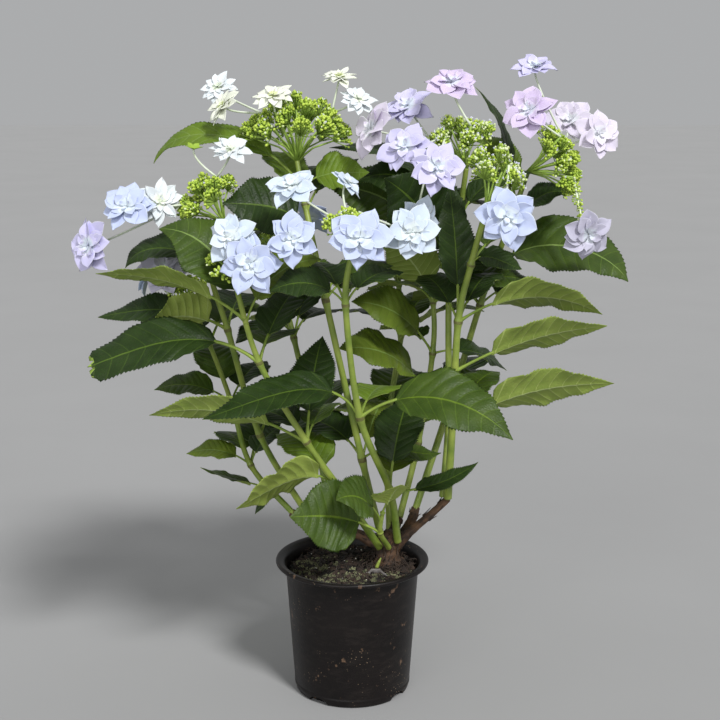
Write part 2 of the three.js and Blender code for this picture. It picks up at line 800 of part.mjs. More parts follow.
const clearOfCrown = crownSolid(GAP);
for (const shoot of SHOOTS) {
  const last = shoot.path.length - 1;
  const stem = solidFromTriangles(tube(shoot, 0, shoot.bare)).subtract(clearOfCrown);
  addNode("stem_" + shoot.name, stem, MATERIALS.stem);

  const leafyStem = tube(shoot, pastGap(shoot, shoot.bare), shoot.leafy);
  const leafySkins = [leafyStem, ...shoot.grown.map((leaf) => leafSkin(leaf))];
  addNode("leaves_" + shoot.name, fuse(leafySkins.map(solidFromTriangles)), MATERIALS.leaf);

  if (shoot.head) {
    const peduncle = tube(shoot, pastGap(shoot, shoot.leafy), last);
    const bloomSkins = [peduncle, ...bloomParts(shoot)];
    addNode("bloom_" + shoot.name, fuse(bloomSkins.map(solidFromTriangles)), MATERIALS.bloom);
  }
}

export default plant;
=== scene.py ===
import math

import bpy
import numpy as np
from mathutils.bvhtree import BVHTree
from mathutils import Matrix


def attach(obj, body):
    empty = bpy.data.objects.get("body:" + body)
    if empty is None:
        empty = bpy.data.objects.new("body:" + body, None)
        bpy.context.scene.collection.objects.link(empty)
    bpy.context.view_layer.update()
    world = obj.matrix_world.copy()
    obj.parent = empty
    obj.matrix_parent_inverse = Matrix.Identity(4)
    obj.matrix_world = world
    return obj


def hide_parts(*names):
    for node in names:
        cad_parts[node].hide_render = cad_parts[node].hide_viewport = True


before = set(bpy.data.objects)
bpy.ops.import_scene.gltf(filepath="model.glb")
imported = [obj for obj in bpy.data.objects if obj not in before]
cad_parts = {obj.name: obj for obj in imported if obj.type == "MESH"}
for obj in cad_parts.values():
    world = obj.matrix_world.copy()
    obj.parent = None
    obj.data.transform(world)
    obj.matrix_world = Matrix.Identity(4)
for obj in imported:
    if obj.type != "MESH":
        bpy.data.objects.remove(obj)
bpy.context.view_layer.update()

# ---------------------------------------------------------------- driving dimensions

POT_HEIGHT = 137.5
POT_FOOT_RADIUS = 58.5
POT_NECK_RADIUS = 67.5
POT_RIM_RADIUS = 77
POT_RIM_HEIGHT = 4.4
POT_WALL = 1.9
POT_FLOOR = 3
NOTCH_COUNT = 4
NOTCH_TURN = 53.5
NOTCH_WIDTH = 22
NOTCH_HEIGHT = 7
NOTCH_DEPTH = 9

SOIL_TOP = 127
SOIL_EDGE_DROP = 4
SOIL_SHOULDER = 60

STEM_SIDES = 6
TWIG_SIDES = 3
STEM_STEPS = 2.5
TWIG_RADIUS = 1.1

PETIOLE_SHARE = 0.22
RISE_SHARE = 0.42
DROOP_SHARE = 0.36
PETIOLE_RADIUS = 1.8
BLADE_THICKNESS = 1.9
BLADE_STATIONS = [0.12, 0.42, 0.76]
BLADE_BROADEST = 0.4
BASE_ROUNDNESS = 0.62
TIP_SHARPNESS = 0.93
EDGE_RISE = 0.26
EDGE_FALL = 0.4
LEAF_MARGIN = 1.3

LIMB_SIDES = 8
HEAD_SIDES = 7
FLORET_POINTS = 7
FLORET_WAIST = 0.6
FLORET_CUP = 0.12
FLORET_BACK = 0.08
FLORET_FRONT = 0.26
PEDICEL_DEPTH = 0.6  # where a floret's stalk leaves its head, as shares of its height and spread
PEDICEL_OUT = 0.6
SLOPE_STEP = 0.01

# The woody crown: a stump and four short old arms, as [x, y, z, radius] along each limb.
CROWN_LIMBS = [
    [[36, 8, 127.3, 22], [36, 8, 136, 15], [37, 8, 150, 12], [41, 6, 161, 8]],
    [[38, 8, 142, 9], [62, 14, 162, 6], [86, 18, 182, 5.2], [97, 20, 193, 5]],
    [[34, 10, 142, 9], [5, 22, 154, 7], [-38, 36, 164, 6], [-64, 40, 171, 5]],
    [[36, 12, 140, 9], [44, 30, 158, 7], [48, 38, 165, 6]],
    [[42, 14, 140, 9], [60, 38, 160, 7], [66, 50, 172, 5.5]],
]

# The shoots. path: foot, nodes and hub of the flower head. radius: at the foot and at the hub.
# bare: path position where the leaves start; leafy: where they end and the peduncle starts.
# leaves: [path position, turn, reach, lift, rise, droop, width, roll], and a tone where it matters.
# head: spread of the buds, their height, distance from the hub, and the way it faces.
# florets: [x, y, z, azimuth, elevation, radius, tint], and how the open face is turned if otherwise.
SHOOTS = [
    {
        "name": "front",
        "path": [[46, 0, 154], [37, -25, 216], [8, -60, 299], [-5, -90, 412], [1, -100, 463]],
        "radius": [3.9, 2.6],
        "bare": 0.8,
        "leafy": 3.3,
        "leaves": [
            [1, 60, 46, 94, 80, 45, 52, 0],
            [0.95, 9, 88, 28, 5, 35, 24, 25],
            [2, -168, 152, 12, 62, -12, 50, -25],
            [2, -20, 148, -8, 40, -45, 64, 34],
            [3, -167, 70, 14, 55, -30, 42, -30],
            [3, 30, 62, 25, 60, -15, 40, 10],
        ],
        "head": {"spread": 23, "height": 18, "rise": 42, "azimuth": 180, "elevation": 76},
        "florets": [
            [8, -125, 477, -88, 18, 30, "blue"],
            [54, -92, 478, -80, 12, 28, "ice"],
            [-53, -62, 515, -110, 58, 26, "ice"],
            [-4, -58, 519, -20, 45, 18, "ice"],
        ],
    },
    {
        "name": "left",
        "path": [[28, 1, 147], [-13, -26, 219], [-43, -46, 271], [-86, -60, 352], [-107, -84, 439]],
        "radius": [3.8, 2.5],
        "bare": 0.8,
        "leafy": 3.7,
        "leaves": [
            [1, -160, 104, 16, 50, -25, 66, 45, "fresh"],
            [2, 178, 151, 25, 30, -15, 44, 50],
            [2, 68, 59, 92, 75, 35, 46, 0],
            [3, -172, 176, -6, 40, -18, 56, -35, "deep_torn"],
            [3, 55, 75, 72, 65, 25, 46, 0],
            [3.5, -176, 134, 44, 40, 0, 44, 30, "mid"],
            [3.45, 172, 80, 94, 80, -5, 70, -40, "shaded"],
            [3.45, 0, 70, 60, 75, 0, 60, 30, "olive"],
        ],
        "head": {"spread": 24, "height": 16, "rise": 28, "azimuth": -120, "elevation": 70},
        "florets": [
            [-89, -112, 452, -92, 14, 30, "blue"],
            [-106, -98, 473, -100, 25, 26, "ice"],
            [-52, -106, 473, -88, 14, 26, "blue"],
        ],
    },
    {
        "name": "far_left",
        "path": [[-44, 36, 166], [-92, 12, 262], [-120, -8, 373], [-134, -18, 434], [-120, -18, 478]],
        "radius": [3.4, 2.4],
        "bare": 0.9,
        "leafy": 3.25,
        "leaves": [
            [2, 175, 128, 18, 30, -12, 42, -30, "deep"],
            [2, -150, 84, 2, 35, -30, 60, 50, "olive"],
            [3, -172, 80, 2, 50, -70, 40, -25, "deep"],
            [3, 100, 62, 40, 60, 5, 44, 0],
        ],
        "head": {"spread": 36, "height": 24, "rise": 52, "azimuth": 180, "elevation": 52},
        "florets": [
            [-243, -42, 459, -125, 12, 28, "lilac"],
            [-207, -42, 495, -100, 30, 27, "blue"],
            [-179, -28, 498, -75, 20, 24, "white"],
            [-113, -14, 545, 90, 62, 22, "white", -85, 52],
        ],
    },
    {
        "name": "upper_left",
        "path": [[31, 13, 148], [10, 0, 240], [-25, -10, 402], [-45, 15, 491], [-53, 30, 532]],
        "radius": [3.8, 2.5],
        "bare": 0.85,
        "leafy": 3.45,
        "leaves": [
            [1, 7, 80, 4, 40, 10, 34, 20],
            [2, -140, 66, 32, 60, -5, 40, -20],
            [2, 20, 70, 30, 55, -10, 46, 20],
            [3.25, 174, 146, 24, 64, -70, 38, -30, "fresh"],
            [3.3, -8, 66, 16, 45, 5, 50, 40, "fresh"],
            [2.9, 115, 64, 50, 60, 5, 40, 0, "deep"],
            [2.6, -165, 86, 50, 62, 5, 66, -50, "deep"],
            [2.9, 40, 66, 56, 65, 5, 36, 10],
        ],
        "head": {"spread": 56, "height": 34, "rise": 66, "azimuth": 90, "elevation": 86},
        "florets": [
            [-130, 50, 601, 160, 62, 21, "white", -110, 42],
            [-122, 18, 584, -150, 40, 22, "cream"],
            [-74, 4, 594, -100, 55, 22, "cream"],
            [-12, 40, 611, 60, 72, 20, "cream", -90, 70],
            [6, 30, 590, 20, 40, 21, "white", -60, 48],
        ],
    },
    {
        "name": "upper_mid",
        "path": [[92, 22, 194], [97, 26, 275], [96, 28, 407], [104, 30, 469], [110, 16, 526]],
        "radius": [3.6, 2.5],
        "bare": 0.9,
        "leafy": 3.3,
        "leaves": [
            [2.1, -156, 72, 102, 74, 30, 86, -100, "deep"],
            [3.2, 166, 132, 62, 55, -10, 44, -15, "deep"],
            [2, 35, 78, 40, 60, -5, 46, 20],
            [3, 178, 102, 40, 65, -35, 52, -40, "deep"],
            [3, 12, 76, 50, 75, -10, 32, 30],
        ],
        "head": {"spread": 42, "height": 28, "rise": 54, "azimuth": 180, "elevation": 68},
        "florets": [
            [20, -10, 564, -150, 22, 30, "blush"],
            [49, -42, 550, -110, 30, 28, "lilac"],
            [77, -64, 533, -78, 18, 28, "lilac"],
            [94, 0, 606, 60, 62, 27, "pink", -90, 60],
            [54, 34, 583, 130, 45, 28, "lilac", -115, 48],
            [62, -36, 482, -70, -8, 24, "ice"],
        ],
    },
    {
        "name": "middle",
        "path": [[49, 39, 166], [68, 58, 240], [82, 58, 335], [82, 60, 387], [72, 66, 450]],
        "radius": [3.4, 2.2],
        "bare": 0.9,
        "leafy": 4,
        "leaves": [
            [1.5, -148, 105, 63, 65, 0, 68, -30],
            [2, -154, 92, 61, 60, 5, 56, -45],
            [2, 15, 78, -20, 15, -45, 46, 10],
            [3, 178, 50, 72, 75, 45, 56, 55],
            [3, 0, 106, 22, 40, -20, 46, 20],
            [4, 178, 98, 56, 65, 5, 64, -50, "shaded"],
            [4, 60, 50, 46, 70, 15, 36, 0],
        ],
        "florets": [],
    },
    {
        "name": "right",
        "path": [[97, 17, 194], [99, -4, 279], [102, -20, 383], [112, -34, 440], [124, -45, 492]],
        "radius": [4, 2.6],
        "bare": 0.9,
        "leafy": 3.2,
        "leaves": [
            [1, -2, 157, 41, 30, 0, 52, -55],
            [1.5, -4, 145, 47, 30, 5, 50, -45],
            [2, 0, 138, 7, 35, -30, 52, -40],
            [2, 118, 20, 130, 88, 75, 42, 0],
            [3, -30, 52, 26, 60, -10, 34, 20],
        ],
        "head": {"spread": 31, "height": 32, "rise": 66, "azimuth": -10, "elevation": 77},
        "florets": [[140, -78, 490, -84, 10, 31, "blue"]],
    },
    {
        "name": "far_right",
        "path": [[65, 48, 170], [104, 86, 280], [132, 86, 380], [156, 66, 460], [174, 54, 520]],
        "radius": [3.7, 2.4],
        "bare": 0.9,
        "leafy": 3.6,
        "leaves": [
            [2, 25, 80, 10, 40, -30, 48, 10],
            [2, 170, 74, 26, 50, -10, 46, 0],
            [2.3, -18, 142, 14, 68, -58, 84, 30, "shaded"],
            [3.3, 175, 40, 68, 80, -20, 44, -30, "fresh"],
            [3.4, 160, 44, 100, 80, 40, 30, 0, "deep"],
            [3.2, -20, 56, 26, 40, -20, 32, 40, "deep"],
        ],
        "head": {"spread": 40, "height": 20, "rise": 54, "azimuth": -14, "elevation": 20},
        "florets": [
            [170, 28, 579, -110, 32, 29, "pink"],
            [179, 62, 620, 40, 66, 25, "lilac", -100, 66],
            [220, 90, 567, 60, 40, 28, "blush", -110, 40],
            [243, 58, 556, -20, 25, 27, "blush", -70, 18],
            # painted shade: this floret takes the dimmed tint
            [224, -12, 466, -70, -12, 28, "dusk"],
        ],
    },
    {
        "name": "low_left",
        "path": [[-61, 39, 170], [-104, 40, 222], [-122, 34, 290], [-142, 30, 350], [-160, 14, 400]],
        "radius": [3.2, 2],
        "bare": 0.25,
        "leafy": 3.3,
        "leaves": [
            [0.35, -150, 26, -14, 30, -60, 16, 0],
            [0.55, -164, 70, 28, 20, 25, 28, 0],
            [1, 180, 66, 12, 40, -20, 38, -15],
            [1, 40, 40, 34, 70, 10, 36, 0],
            [2, -173, 77, 15, 40, -20, 42, -20],
            [2, 60, 66, 30, 55, -5, 44, 0],
            [3, 130, 70, 26, 55, -10, 40, 0],
        ],
        "head": {"spread": 22, "height": 9, "rise": 22, "azimuth": 150, "elevation": 70},
        "florets": [
            # painted shade: this floret takes the dimmed tint
            [-182, 2, 430, -90, 30, 26, "dusk"],
            [-198, 24, 420, 170, 20, 24, "ice"],
        ],
    },
    {
        "name": "basal",
        "path": [[37, -2, 148], [28, -24, 172], [30, -34, 196]],
        "radius": [3, 2],
        "bare": 0.7,
        "leafy": 2,
        "leaves": [
            [1, -155, 96, 30, 35, 5, 70, -70],
            [1.6, -134, 62, 36, 60, -10, 48, -50],
            [2, -60, 34, 38, 60, 30, 40, 0],
        ],
        "florets": [],
    },
    {
        "name": "back_left",
        "path": [[-20, 31, 160], [-40, 80, 250], [-62, 112, 340], [-78, 132, 400], [-84, 138, 432]],
        "radius": [3.6, 2.4],
        "bare": 0.9,
        "leafy": 3.3,
        "pairs": {"first": 1, "last": 3, "turn": 150, "length": 112},
        "leaves": [],
        "head": {"spread": 34, "height": 14, "rise": 30, "azimuth": 110, "elevation": 65},
        "florets": [
            [-88, 178, 440, 95, 20, 28, "blue"],
            [-130, 156, 444, 150, 25, 27, "ice"],
            [-46, 168, 462, 60, 35, 26, "blue"],
        ],
    },
    {
        "name": "back_right",
        "path": [[38, 30, 155], [38, 96, 250], [52, 130, 340], [50, 152, 390], [50, 160, 422]],
        "radius": [3.6, 2.4],
        "bare": 0.9,
        "leafy": 3.3,
        "pairs": {"first": 1, "last": 3, "turn": 60, "length": 112},
        "leaves": [],
        "head": {"spread": 34, "height": 14, "rise": 30, "azimuth": 80, "elevation": 65},
        "florets": [
            [56, 202, 432, 85, 15, 28, "pink"],
            [98, 180, 438, 40, 25, 27, "lilac"],
            [20, 184, 462, 110, 40, 26, "lilac"],
        ],
    },
]

# Leaves in opposite pairs: drawn ranges, the width as a share of the length.
PAIR_SIZE = (0.82, 1.08)
PAIR_SHRINK = 0.08
PAIR_WANDER = (-12, 12)
PAIR_LIFT = (8, 34)
PAIR_RISE = (40, 60)
PAIR_DROOP = (-30, -5)
PAIR_WIDTH = (0.42, 0.52)
PAIR_REACH = 0.94

# Leaves that fill the far side of the crown, and how much single ones depart.
FILL_TURNS = [70, 130]
FILL_REACH = 84
FILL_LIFT = 26
FILL_RISE = 50
FILL_DROOP = -15
FILL_WIDTH = 50
FILL_SIZE = (0.8, 1.15)
FILL_WANDER = (-15, 15)
FILL_TILT = (-14, 14)

# Turns and lifts that a leaf tries in this order until it is clear of its neighbours.
NUDGES = [
    (0, 0), (0, 8), (0, -8), (8, 0), (-8, 0), (0, 16), (0, -16), (8, 10), (-8, 10),
    (8, -10), (-8, -10), (16, 0), (-16, 0), (16, 14), (-16, 14), (0, 26), (0, -26), (24, 0), (-24, 0),
]

# ---------------------------------------------------------------- vectors, curves and coarse skins


def heading(azimuth, elevation=0.0):
    """The unit vector that points that way; azimuth 0 is +X and 90 is +Y."""
    a, e = math.radians(azimuth), math.radians(elevation)
    return np.array([math.cos(a) * math.cos(e), math.sin(a) * math.cos(e), math.sin(e)])


def unit(v):
    return v / np.maximum(np.linalg.norm(v, axis=-1, keepdims=True), 1e-12)


def curve_points(points, s):
    """Points at positions s of a smooth curve through the given points; s counts points from 0."""
    p = np.asarray(points, float)
    s = np.atleast_1d(np.asarray(s, float))
    padded = np.vstack([2 * p[0] - p[1], p, 2 * p[-1] - p[-2]])
    i = np.minimum(s.astype(int), len(p) - 2)
    f = (s - i)[:, None]
    p0, p1, p2, p3 = (padded[i + k] for k in range(4))
    return 0.5 * (
        p0 * (2 * f**2 - f - f**3)
        + p1 * (2 - 5 * f**2 + 3 * f**3)
        + p2 * (f + 4 * f**2 - 3 * f**3)
        + p3 * (f**3 - f**2)
    )


def curve_slopes(points, s):
    s = np.atleast_1d(np.asarray(s, float))
    a = np.maximum(s - SLOPE_STEP, 0)
    b = np.minimum(s + SLOPE_STEP, len(points) - 1)
    return (curve_points(points, b) - curve_points(points, a)) / (b - a)[:, None]


def round_angles(count):
    return 2 * np.pi * np.arange(count) / count


def ring(centre, direction, radius, sides):
    """A ring of points round a centre, square to the given direction."""
    side = unit(np.cross(direction, [0, 1, 0]))
    front = unit(np.cross(side, direction))
    a = round_angles(sides)
    return centre + radius * (np.outer(np.cos(a), side) - np.outer(np.sin(a), front))


def band(first, n, second, m):
    """The triangles between two rings of n and m points, with alternate diagonals; 1 point is an apex."""
    faces = []
    for k in range(max(n, m)):
        j = (k + 1) % max(n, m)
        if n == 1:
            faces.append((first, second + j, second + k))
        elif m == 1:
            faces.append((first + k, first + j, second))
        elif k % 2:
            faces += [(first + k, first + j, second + j), (first + k, second + j, second + k)]
        else:
            faces += [(first + k, first + j, second + k), (first + j, second + j, second + k)]
    return faces


def skin(rings):
    """A closed coarse skin over rings, as a tree that other skins are tested against."""
    rings = [np.atleast_2d(r) for r in rings]
    starts = np.cumsum([0] + [len(r) for r in rings])
    faces = []
    for k in range(len(rings) - 1):
        faces += band(int(starts[k]), len(rings[k]), int(starts[k + 1]), len(rings[k + 1]))
    last = int(starts[-2])
    faces += [(0, k + 1, k) for k in range(1, len(rings[0]) - 1)]
    faces += [(last, last + k, last + k + 1) for k in range(1, len(rings[-1]) - 1)]
    return BVHTree.FromPolygons(np.vstack(rings).tolist(), faces)


# ---------------------------------------------------------------- how the leaves find their places

DRAW_FACTOR = 1664525
DRAW_STEP = 1013904223
DRAW_RANGE = 2**32
seed = 2024


def draw(low, high):
    """The next number of a fixed row of drawn numbers, which is the same in the plant's solids."""
    global seed
    seed = (seed * DRAW_FACTOR + DRAW_STEP) % DRAW_RANGE
    return low + (high - low) * seed / DRAW_RANGE


def midrib(leaf, t):
    """Points, sides and ups at places t along a leaf's midrib, 0 in the stem and 1 at the tip."""
    t = np.atleast_1d(np.asarray(t, float))
    out = heading(leaf["turn"])
    length = math.hypot(leaf["reach"], leaf["lift"])
    tip = leaf["root"] + leaf["reach"] * out + np.array([0, 0, leaf["lift"]])
    controls = [
        leaf["root"],
        leaf["root"] + RISE_SHARE * length * heading(leaf["turn"], leaf["rise"]),
        tip - DROOP_SHARE * length * heading(leaf["turn"], leaf["droop"]),
        tip,
    ]

    def bezier(x):
        x = x[:, None]
        weights = [(1 - x) ** 3, 3 * x * (1 - x) ** 2, 3 * x**2 * (1 - x), x**3]
        return sum(w * c for w, c in zip(weights, controls))

    along = unit(bezier(np.minimum(t + SLOPE_STEP, 1)) - bezier(np.maximum(t - SLOPE_STEP, 0)))
    level = heading(leaf["turn"] - 90)
    up0 = np.cross(level, along)
    roll = (math.radians(leaf["roll"]) * np.minimum(1, t / PETIOLE_SHARE))[:, None]
    side = level * np.cos(roll) - up0 * np.sin(roll)
    up = up0 * np.cos(roll) + level * np.sin(roll)
    return bezier(t), side, up


def half_width(leaf, u):
    base = (np.maximum(u, 0) / BLADE_BROADEST) ** BASE_ROUNDNESS
    tip = (np.maximum(1 - u, 0) / (1 - BLADE_BROADEST)) ** TIP_SHARPNESS
    return 0.5 * leaf["width"] * base * tip


def diamond(leaf, t, half, edge_rise, thick):
    at, side, up = (v[0] for v in midrib(leaf, t))
    edge = at + edge_rise * up
    return np.array([edge + half * side, at - thick * up, edge - half * side, at + thick * up])


def leaf_skin(leaf, margin=0.0, start=0.0):
    stalk = PETIOLE_RADIUS + margin
    stations = [start] if start < PETIOLE_SHARE else []
    rings = [diamond(leaf, t, stalk, 0, stalk) for t in stations + [PETIOLE_SHARE]]
    for u in BLADE_STATIONS:
        half = half_width(leaf, u) + margin
        t = PETIOLE_SHARE + (1 - PETIOLE_SHARE) * u
        edge_rise = half * (EDGE_RISE - EDGE_FALL * u)
        rings.append(diamond(leaf, t, half, edge_rise, BLADE_THICKNESS / 2 + margin))
    rings.append(midrib(leaf, 1)[0])
    return skin(rings)


def star_skin(floret):
    centre, facing, radius = np.array(floret[:3], float), heading(*floret[3:5]), floret[5]
    side, top = floret_axes(facing)
    a = np.pi * np.arange(2 * FLORET_POINTS) / FLORET_POINTS
    point = np.arange(2 * FLORET_POINTS) % 2 == 0
    r = radius * np.where(point, 1, FLORET_WAIST)
    outline = centre + np.outer(r * np.cos(a), side) + np.outer(r * np.sin(a), top)
    outline += np.outer(np.where(point, FLORET_CUP * radius, 0), facing)
    return skin([centre - FLORET_BACK * radius * facing, outline, centre + FLORET_FRONT * radius * facing])


def floret_axes(facing):
    across = np.cross(heading(0), facing)
    side = unit(across) if across @ across > 0.1 else np.array([0.0, 1.0, 0.0])
    return side, np.cross(facing, side)


def head_frame(shoot):
    head = shoot["head"]
    return np.array(shoot["path"][-1], float), heading(head["azimuth"], head["elevation"])


def pedicel_root(shoot, centre):
    head = shoot["head"]
    hub, axis = head_frame(shoot)
    middle = hub + (head["rise"] - PEDICEL_DEPTH * head["height"]) * axis
    out = centre - middle
    return middle + PEDICEL_OUT * head["spread"] * unit(out - (out @ axis) * axis)


def head_skins(shoot):
    spread, height, rise = (shoot["head"][k] for k in ("spread", "height", "rise"))
    hub, axis = head_frame(shoot)
    sections = [
        (-1, 1.6),
        (0.5 * (rise - height), 3),
        (rise - height, 0.9 * spread),
        (rise - 0.5 * height, spread),
        (rise, 0.5 * spread),
    ]
    skins = [skin([ring(hub + along * axis, axis, r, HEAD_SIDES) for along, r in sections])]
    for floret in shoot["florets"]:
        centre = np.array(floret[:3], float)
        root = pedicel_root(shoot, centre)
        along = unit(centre - root)
        skins.append(star_skin(floret))
        skins.append(skin([ring(end, along, TWIG_RADIUS, TWIG_SIDES) for end in (root, centre)]))
    return skins


def stem_skin(shoot, start, end):
    spans = max(1, math.floor((end - start) * STEM_STEPS + 0.5))
    s = start + (end - start) * np.arange(spans + 1) / spans
    low, high = shoot["radius"]
    radii = low + (high - low) * s / (len(shoot["path"]) - 1)
    centres, slopes = curve_points(shoot["path"], s), unit(curve_slopes(shoot["path"], s))
    return skin([ring(c, d, r, STEM_SIDES) for c, d, r in zip(centres, slopes, radii)])


def limb_skin(limb):
    rings = []
    for i, (x, y, z, radius) in enumerate(limb):
        before, after = np.array(limb[max(i - 1, 0)][:3]), np.array(limb[min(i + 1, len(limb) - 1)][:3])
        upright = i == 0 and z < SOIL_TOP + 1
        direction = np.array([0.0, 0.0, 1.0]) if upright else unit(after - before)
        rings.append(ring(np.array([x, y, z]), direction, radius, LIMB_SIDES))
    return skin(rings)


def leaf_at(shoot, row):
    keys = ("s", "turn", "reach", "lift", "rise", "droop", "width", "roll", "tone")
    return {**dict(zip(keys, row)), "root": curve_points(shoot["path"], row[0])[0]}


def paired_leaves(shoot):
    """Opposite pairs, each turned a quarter from the pair below and a little smaller."""
    pairs, leaves = shoot["pairs"], []
    for s in range(pairs["first"], pairs["last"] + 1):
        for across in (0, 180):
            up = s - pairs["first"]
            size = pairs["length"] * draw(*PAIR_SIZE) * (1 - PAIR_SHRINK * up)
            around = pairs["turn"] + 90 * up + across + draw(*PAIR_WANDER)
            lift, rise, droop = draw(*PAIR_LIFT), draw(*PAIR_RISE), draw(*PAIR_DROOP)
            width = draw(*PAIR_WIDTH) * size
            leaves.append(leaf_at(shoot, [s, around, PAIR_REACH * size, lift, rise, droop, width, 0]))
    return leaves


def fill_leaves(shoot):
    """Leaves that fill the side of the crown away from the front."""
    leaves = []
    for s in range(math.ceil(shoot["bare"]), math.floor(shoot["leafy"]) + 1):
        for turn in FILL_TURNS:
            size = draw(*FILL_SIZE)
            turn, lift = turn + draw(*FILL_WANDER), FILL_LIFT + draw(*FILL_TILT)
            row = [s, turn, FILL_REACH * size, lift, FILL_RISE, FILL_DROOP, FILL_WIDTH * size]
            leaves.append(leaf_at(shoot, row + [draw(*FILL_TILT)]))
    return leaves


def settle(shoot, wish, placed):
    """Turns or lifts a leaf until it is clear of all that is placed, or skips it."""
    for turn, lift in NUDGES:
        leaf = {**wish, "turn": wish["turn"] + turn, "lift": wish["lift"] + lift}
        whole = leaf_skin(leaf, LEAF_MARGIN)
        blade = leaf_skin(leaf, LEAF_MARGIN, PETIOLE_SHARE)
        name = shoot["name"]
        if not any((blade if owner == name else whole).overlap(tree) for owner, tree in placed):
            placed.append((name, leaf_skin(leaf)))
            return leaf
    return None


def grow():
    """The leaves of every shoot, by the shoot's name."""
    placed = [("crown", limb_skin(limb)) for limb in CROWN_LIMBS]
    for shoot in SHOOTS:
        placed.append(("stem", stem_skin(shoot, 0, shoot["bare"])))
        placed.append((shoot["name"], stem_skin(shoot, shoot["bare"], shoot["leafy"])))
        if "head" in shoot:
            placed.append(("bloom", stem_skin(shoot, shoot["leafy"], len(shoot["path"]) - 1)))
            placed += [("bloom", tree) for tree in head_skins(shoot)]
    leaves = {}
    for shoot in SHOOTS:
        wishes = [leaf_at(shoot, row) for row in shoot["leaves"]]
        if "pairs" in shoot:
            wishes = paired_leaves(shoot)
        leaves[shoot["name"]] = [settle(shoot, wish, placed) for wish in wishes]
    for shoot in SHOOTS:
        leaves[shoot["name"]] += [settle(shoot, wish, placed) for wish in fill_leaves(shoot)]
    return {name: [leaf for leaf in found if leaf] for name, found in leaves.items()}


# ---------------------------------------------------------------- meshes from arrays

FULL_TURN = 6.28  # the range of a drawn angle, in radians
MM_PER_METRE = 1000

rng = np.random.default_rng(7)


class Pile:
    """Points and faces of many small things, which become one mesh."""

    def __init__(self, looks):
        self.looks = looks
        self.points, self.quads, self.triangles = [], [], []
        self.quad_looks, self.triangle_looks = [], []
        self.count = 0

    def add(self, points, faces, look):
        """look is a look's name, or an array of numbers of looks, one for each face."""
        number = self.looks.index(look) if isinstance(look, str) else look
        numbers = np.broadcast_to(number, len(faces))
        if faces.shape[1] == 4:
            self.quads.append(faces + self.count)
            self.quad_looks.append(numbers)
        else:
            self.triangles.append(faces + self.count)
            self.triangle_looks.append(numbers)
        points = points.reshape(-1, 3)
        self.points.append(points)
        self.count += len(points)

    def piece(self, name, slot, nodes, smooth=True):
        """Makes the mesh, which stands for the given nodes of the frame."""
        quads = np.vstack(self.quads or [np.zeros((0, 4), int)])
        triangles = np.vstack(self.triangles or [np.zeros((0, 3), int)])
        numbers = np.concatenate(self.quad_looks + self.triangle_looks)
        corners = np.concatenate([quads.ravel(), triangles.ravel()])
        sizes = np.repeat([4, 3], [len(quads), len(triangles)])
        starts = np.concatenate([[0], np.cumsum(sizes)[:-1]])
        points = np.vstack(self.points) / MM_PER_METRE
        mesh = bpy.data.meshes.new(name)
        mesh.vertices.add(len(points))
        mesh.vertices.foreach_set("co", points.ravel().astype(np.float32))
        mesh.loops.add(len(corners))
        mesh.loops.foreach_set("vertex_index", corners.astype(np.int32))
        mesh.polygons.add(len(sizes))
        mesh.polygons.foreach_set("loop_start", starts.astype(np.int32))
        mesh.polygons.foreach_set("material_index", numbers.astype(np.int32))
        mesh.polygons.foreach_set("use_smooth", np.full(len(sizes), smooth))
        mesh.update(calc_edges=True)
        mesh.validate()
        for look in self.looks:
            mesh.materials.append(LOOKS[look])
        thing = bpy.data.objects.new(name, mesh)
        bpy.context.scene.collection.objects.link(thing)
        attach(thing, "root")
        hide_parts(*nodes)
        print(name, len(quads) * 2 + len(triangles), "triangles")
        return thing


def grid_faces(rows, columns):
    """Quads of a tube of rings, `rows` rings of `columns` points each."""
    row, near = np.meshgrid(np.arange(rows - 1), np.arange(columns), indexing="ij")
    next_one = (near + 1) % columns
    low, high = row * columns, (row + 1) * columns
    return np.stack([low + near, low + next_one, high + next_one, high + near], -1).reshape(-1, 4)


def cap_faces(rows, columns):
    """Quads that shut both ends of such a tube across, for an even number of columns."""
    k = np.arange(columns // 2 - 1)
    first = np.stack([k + 1, k, columns - 1 - k, columns - 2 - k], -1)
    return np.vstack([first, first[:, ::-1] + (rows - 1) * columns])


def tube_faces(rows, columns):
    return np.vstack([grid_faces(rows, columns), cap_faces(rows, columns)])


def sheet_faces(rows, columns):
    """Quads of a tube pressed flat to a thin sheet, whose two layers bend along the same diagonals."""
    faces = grid_faces(rows, columns)
    under = np.tile(np.arange(columns) >= columns // 2, rows - 1)
    faces[under] = np.roll(faces[under], -1, axis=1)
    return np.vstack([faces, cap_faces(rows, columns)])


def swept(centres, sides, fronts, radii, count):
    """Points of a tube: rings of `count` points round centres, in the planes of sides and fronts."""
    a = round_angles(count)
    radii = np.broadcast_to(np.asarray(radii, float).reshape(len(centres), -1), (len(centres), count))
    across = np.cos(a)[None, :, None] * sides[:, None] + np.sin(a)[None, :, None] * fronts[:, None]
    return centres[:, None] + radii[:, :, None] * across


def path_frames(centres):
    """Sides and fronts that follow a path without twisting."""
    along = unit(np.gradient(centres, axis=0))
    side = unit(np.cross(along[0], [0.3, 1, 0.1]))
    sides = []
    for direction in along:
        side = unit(side - (side @ direction) * direction)
        sides.append(side)
    sides = np.array(sides)
    return sides, np.cross(along, sides)


def add_tube(pile, centres, radii, count, look):
    centres = np.asarray(centres, float)
    sides, fronts = path_frames(centres)
    pile.add(swept(centres, sides, fronts, radii, count), tube_faces(len(centres), count), look)


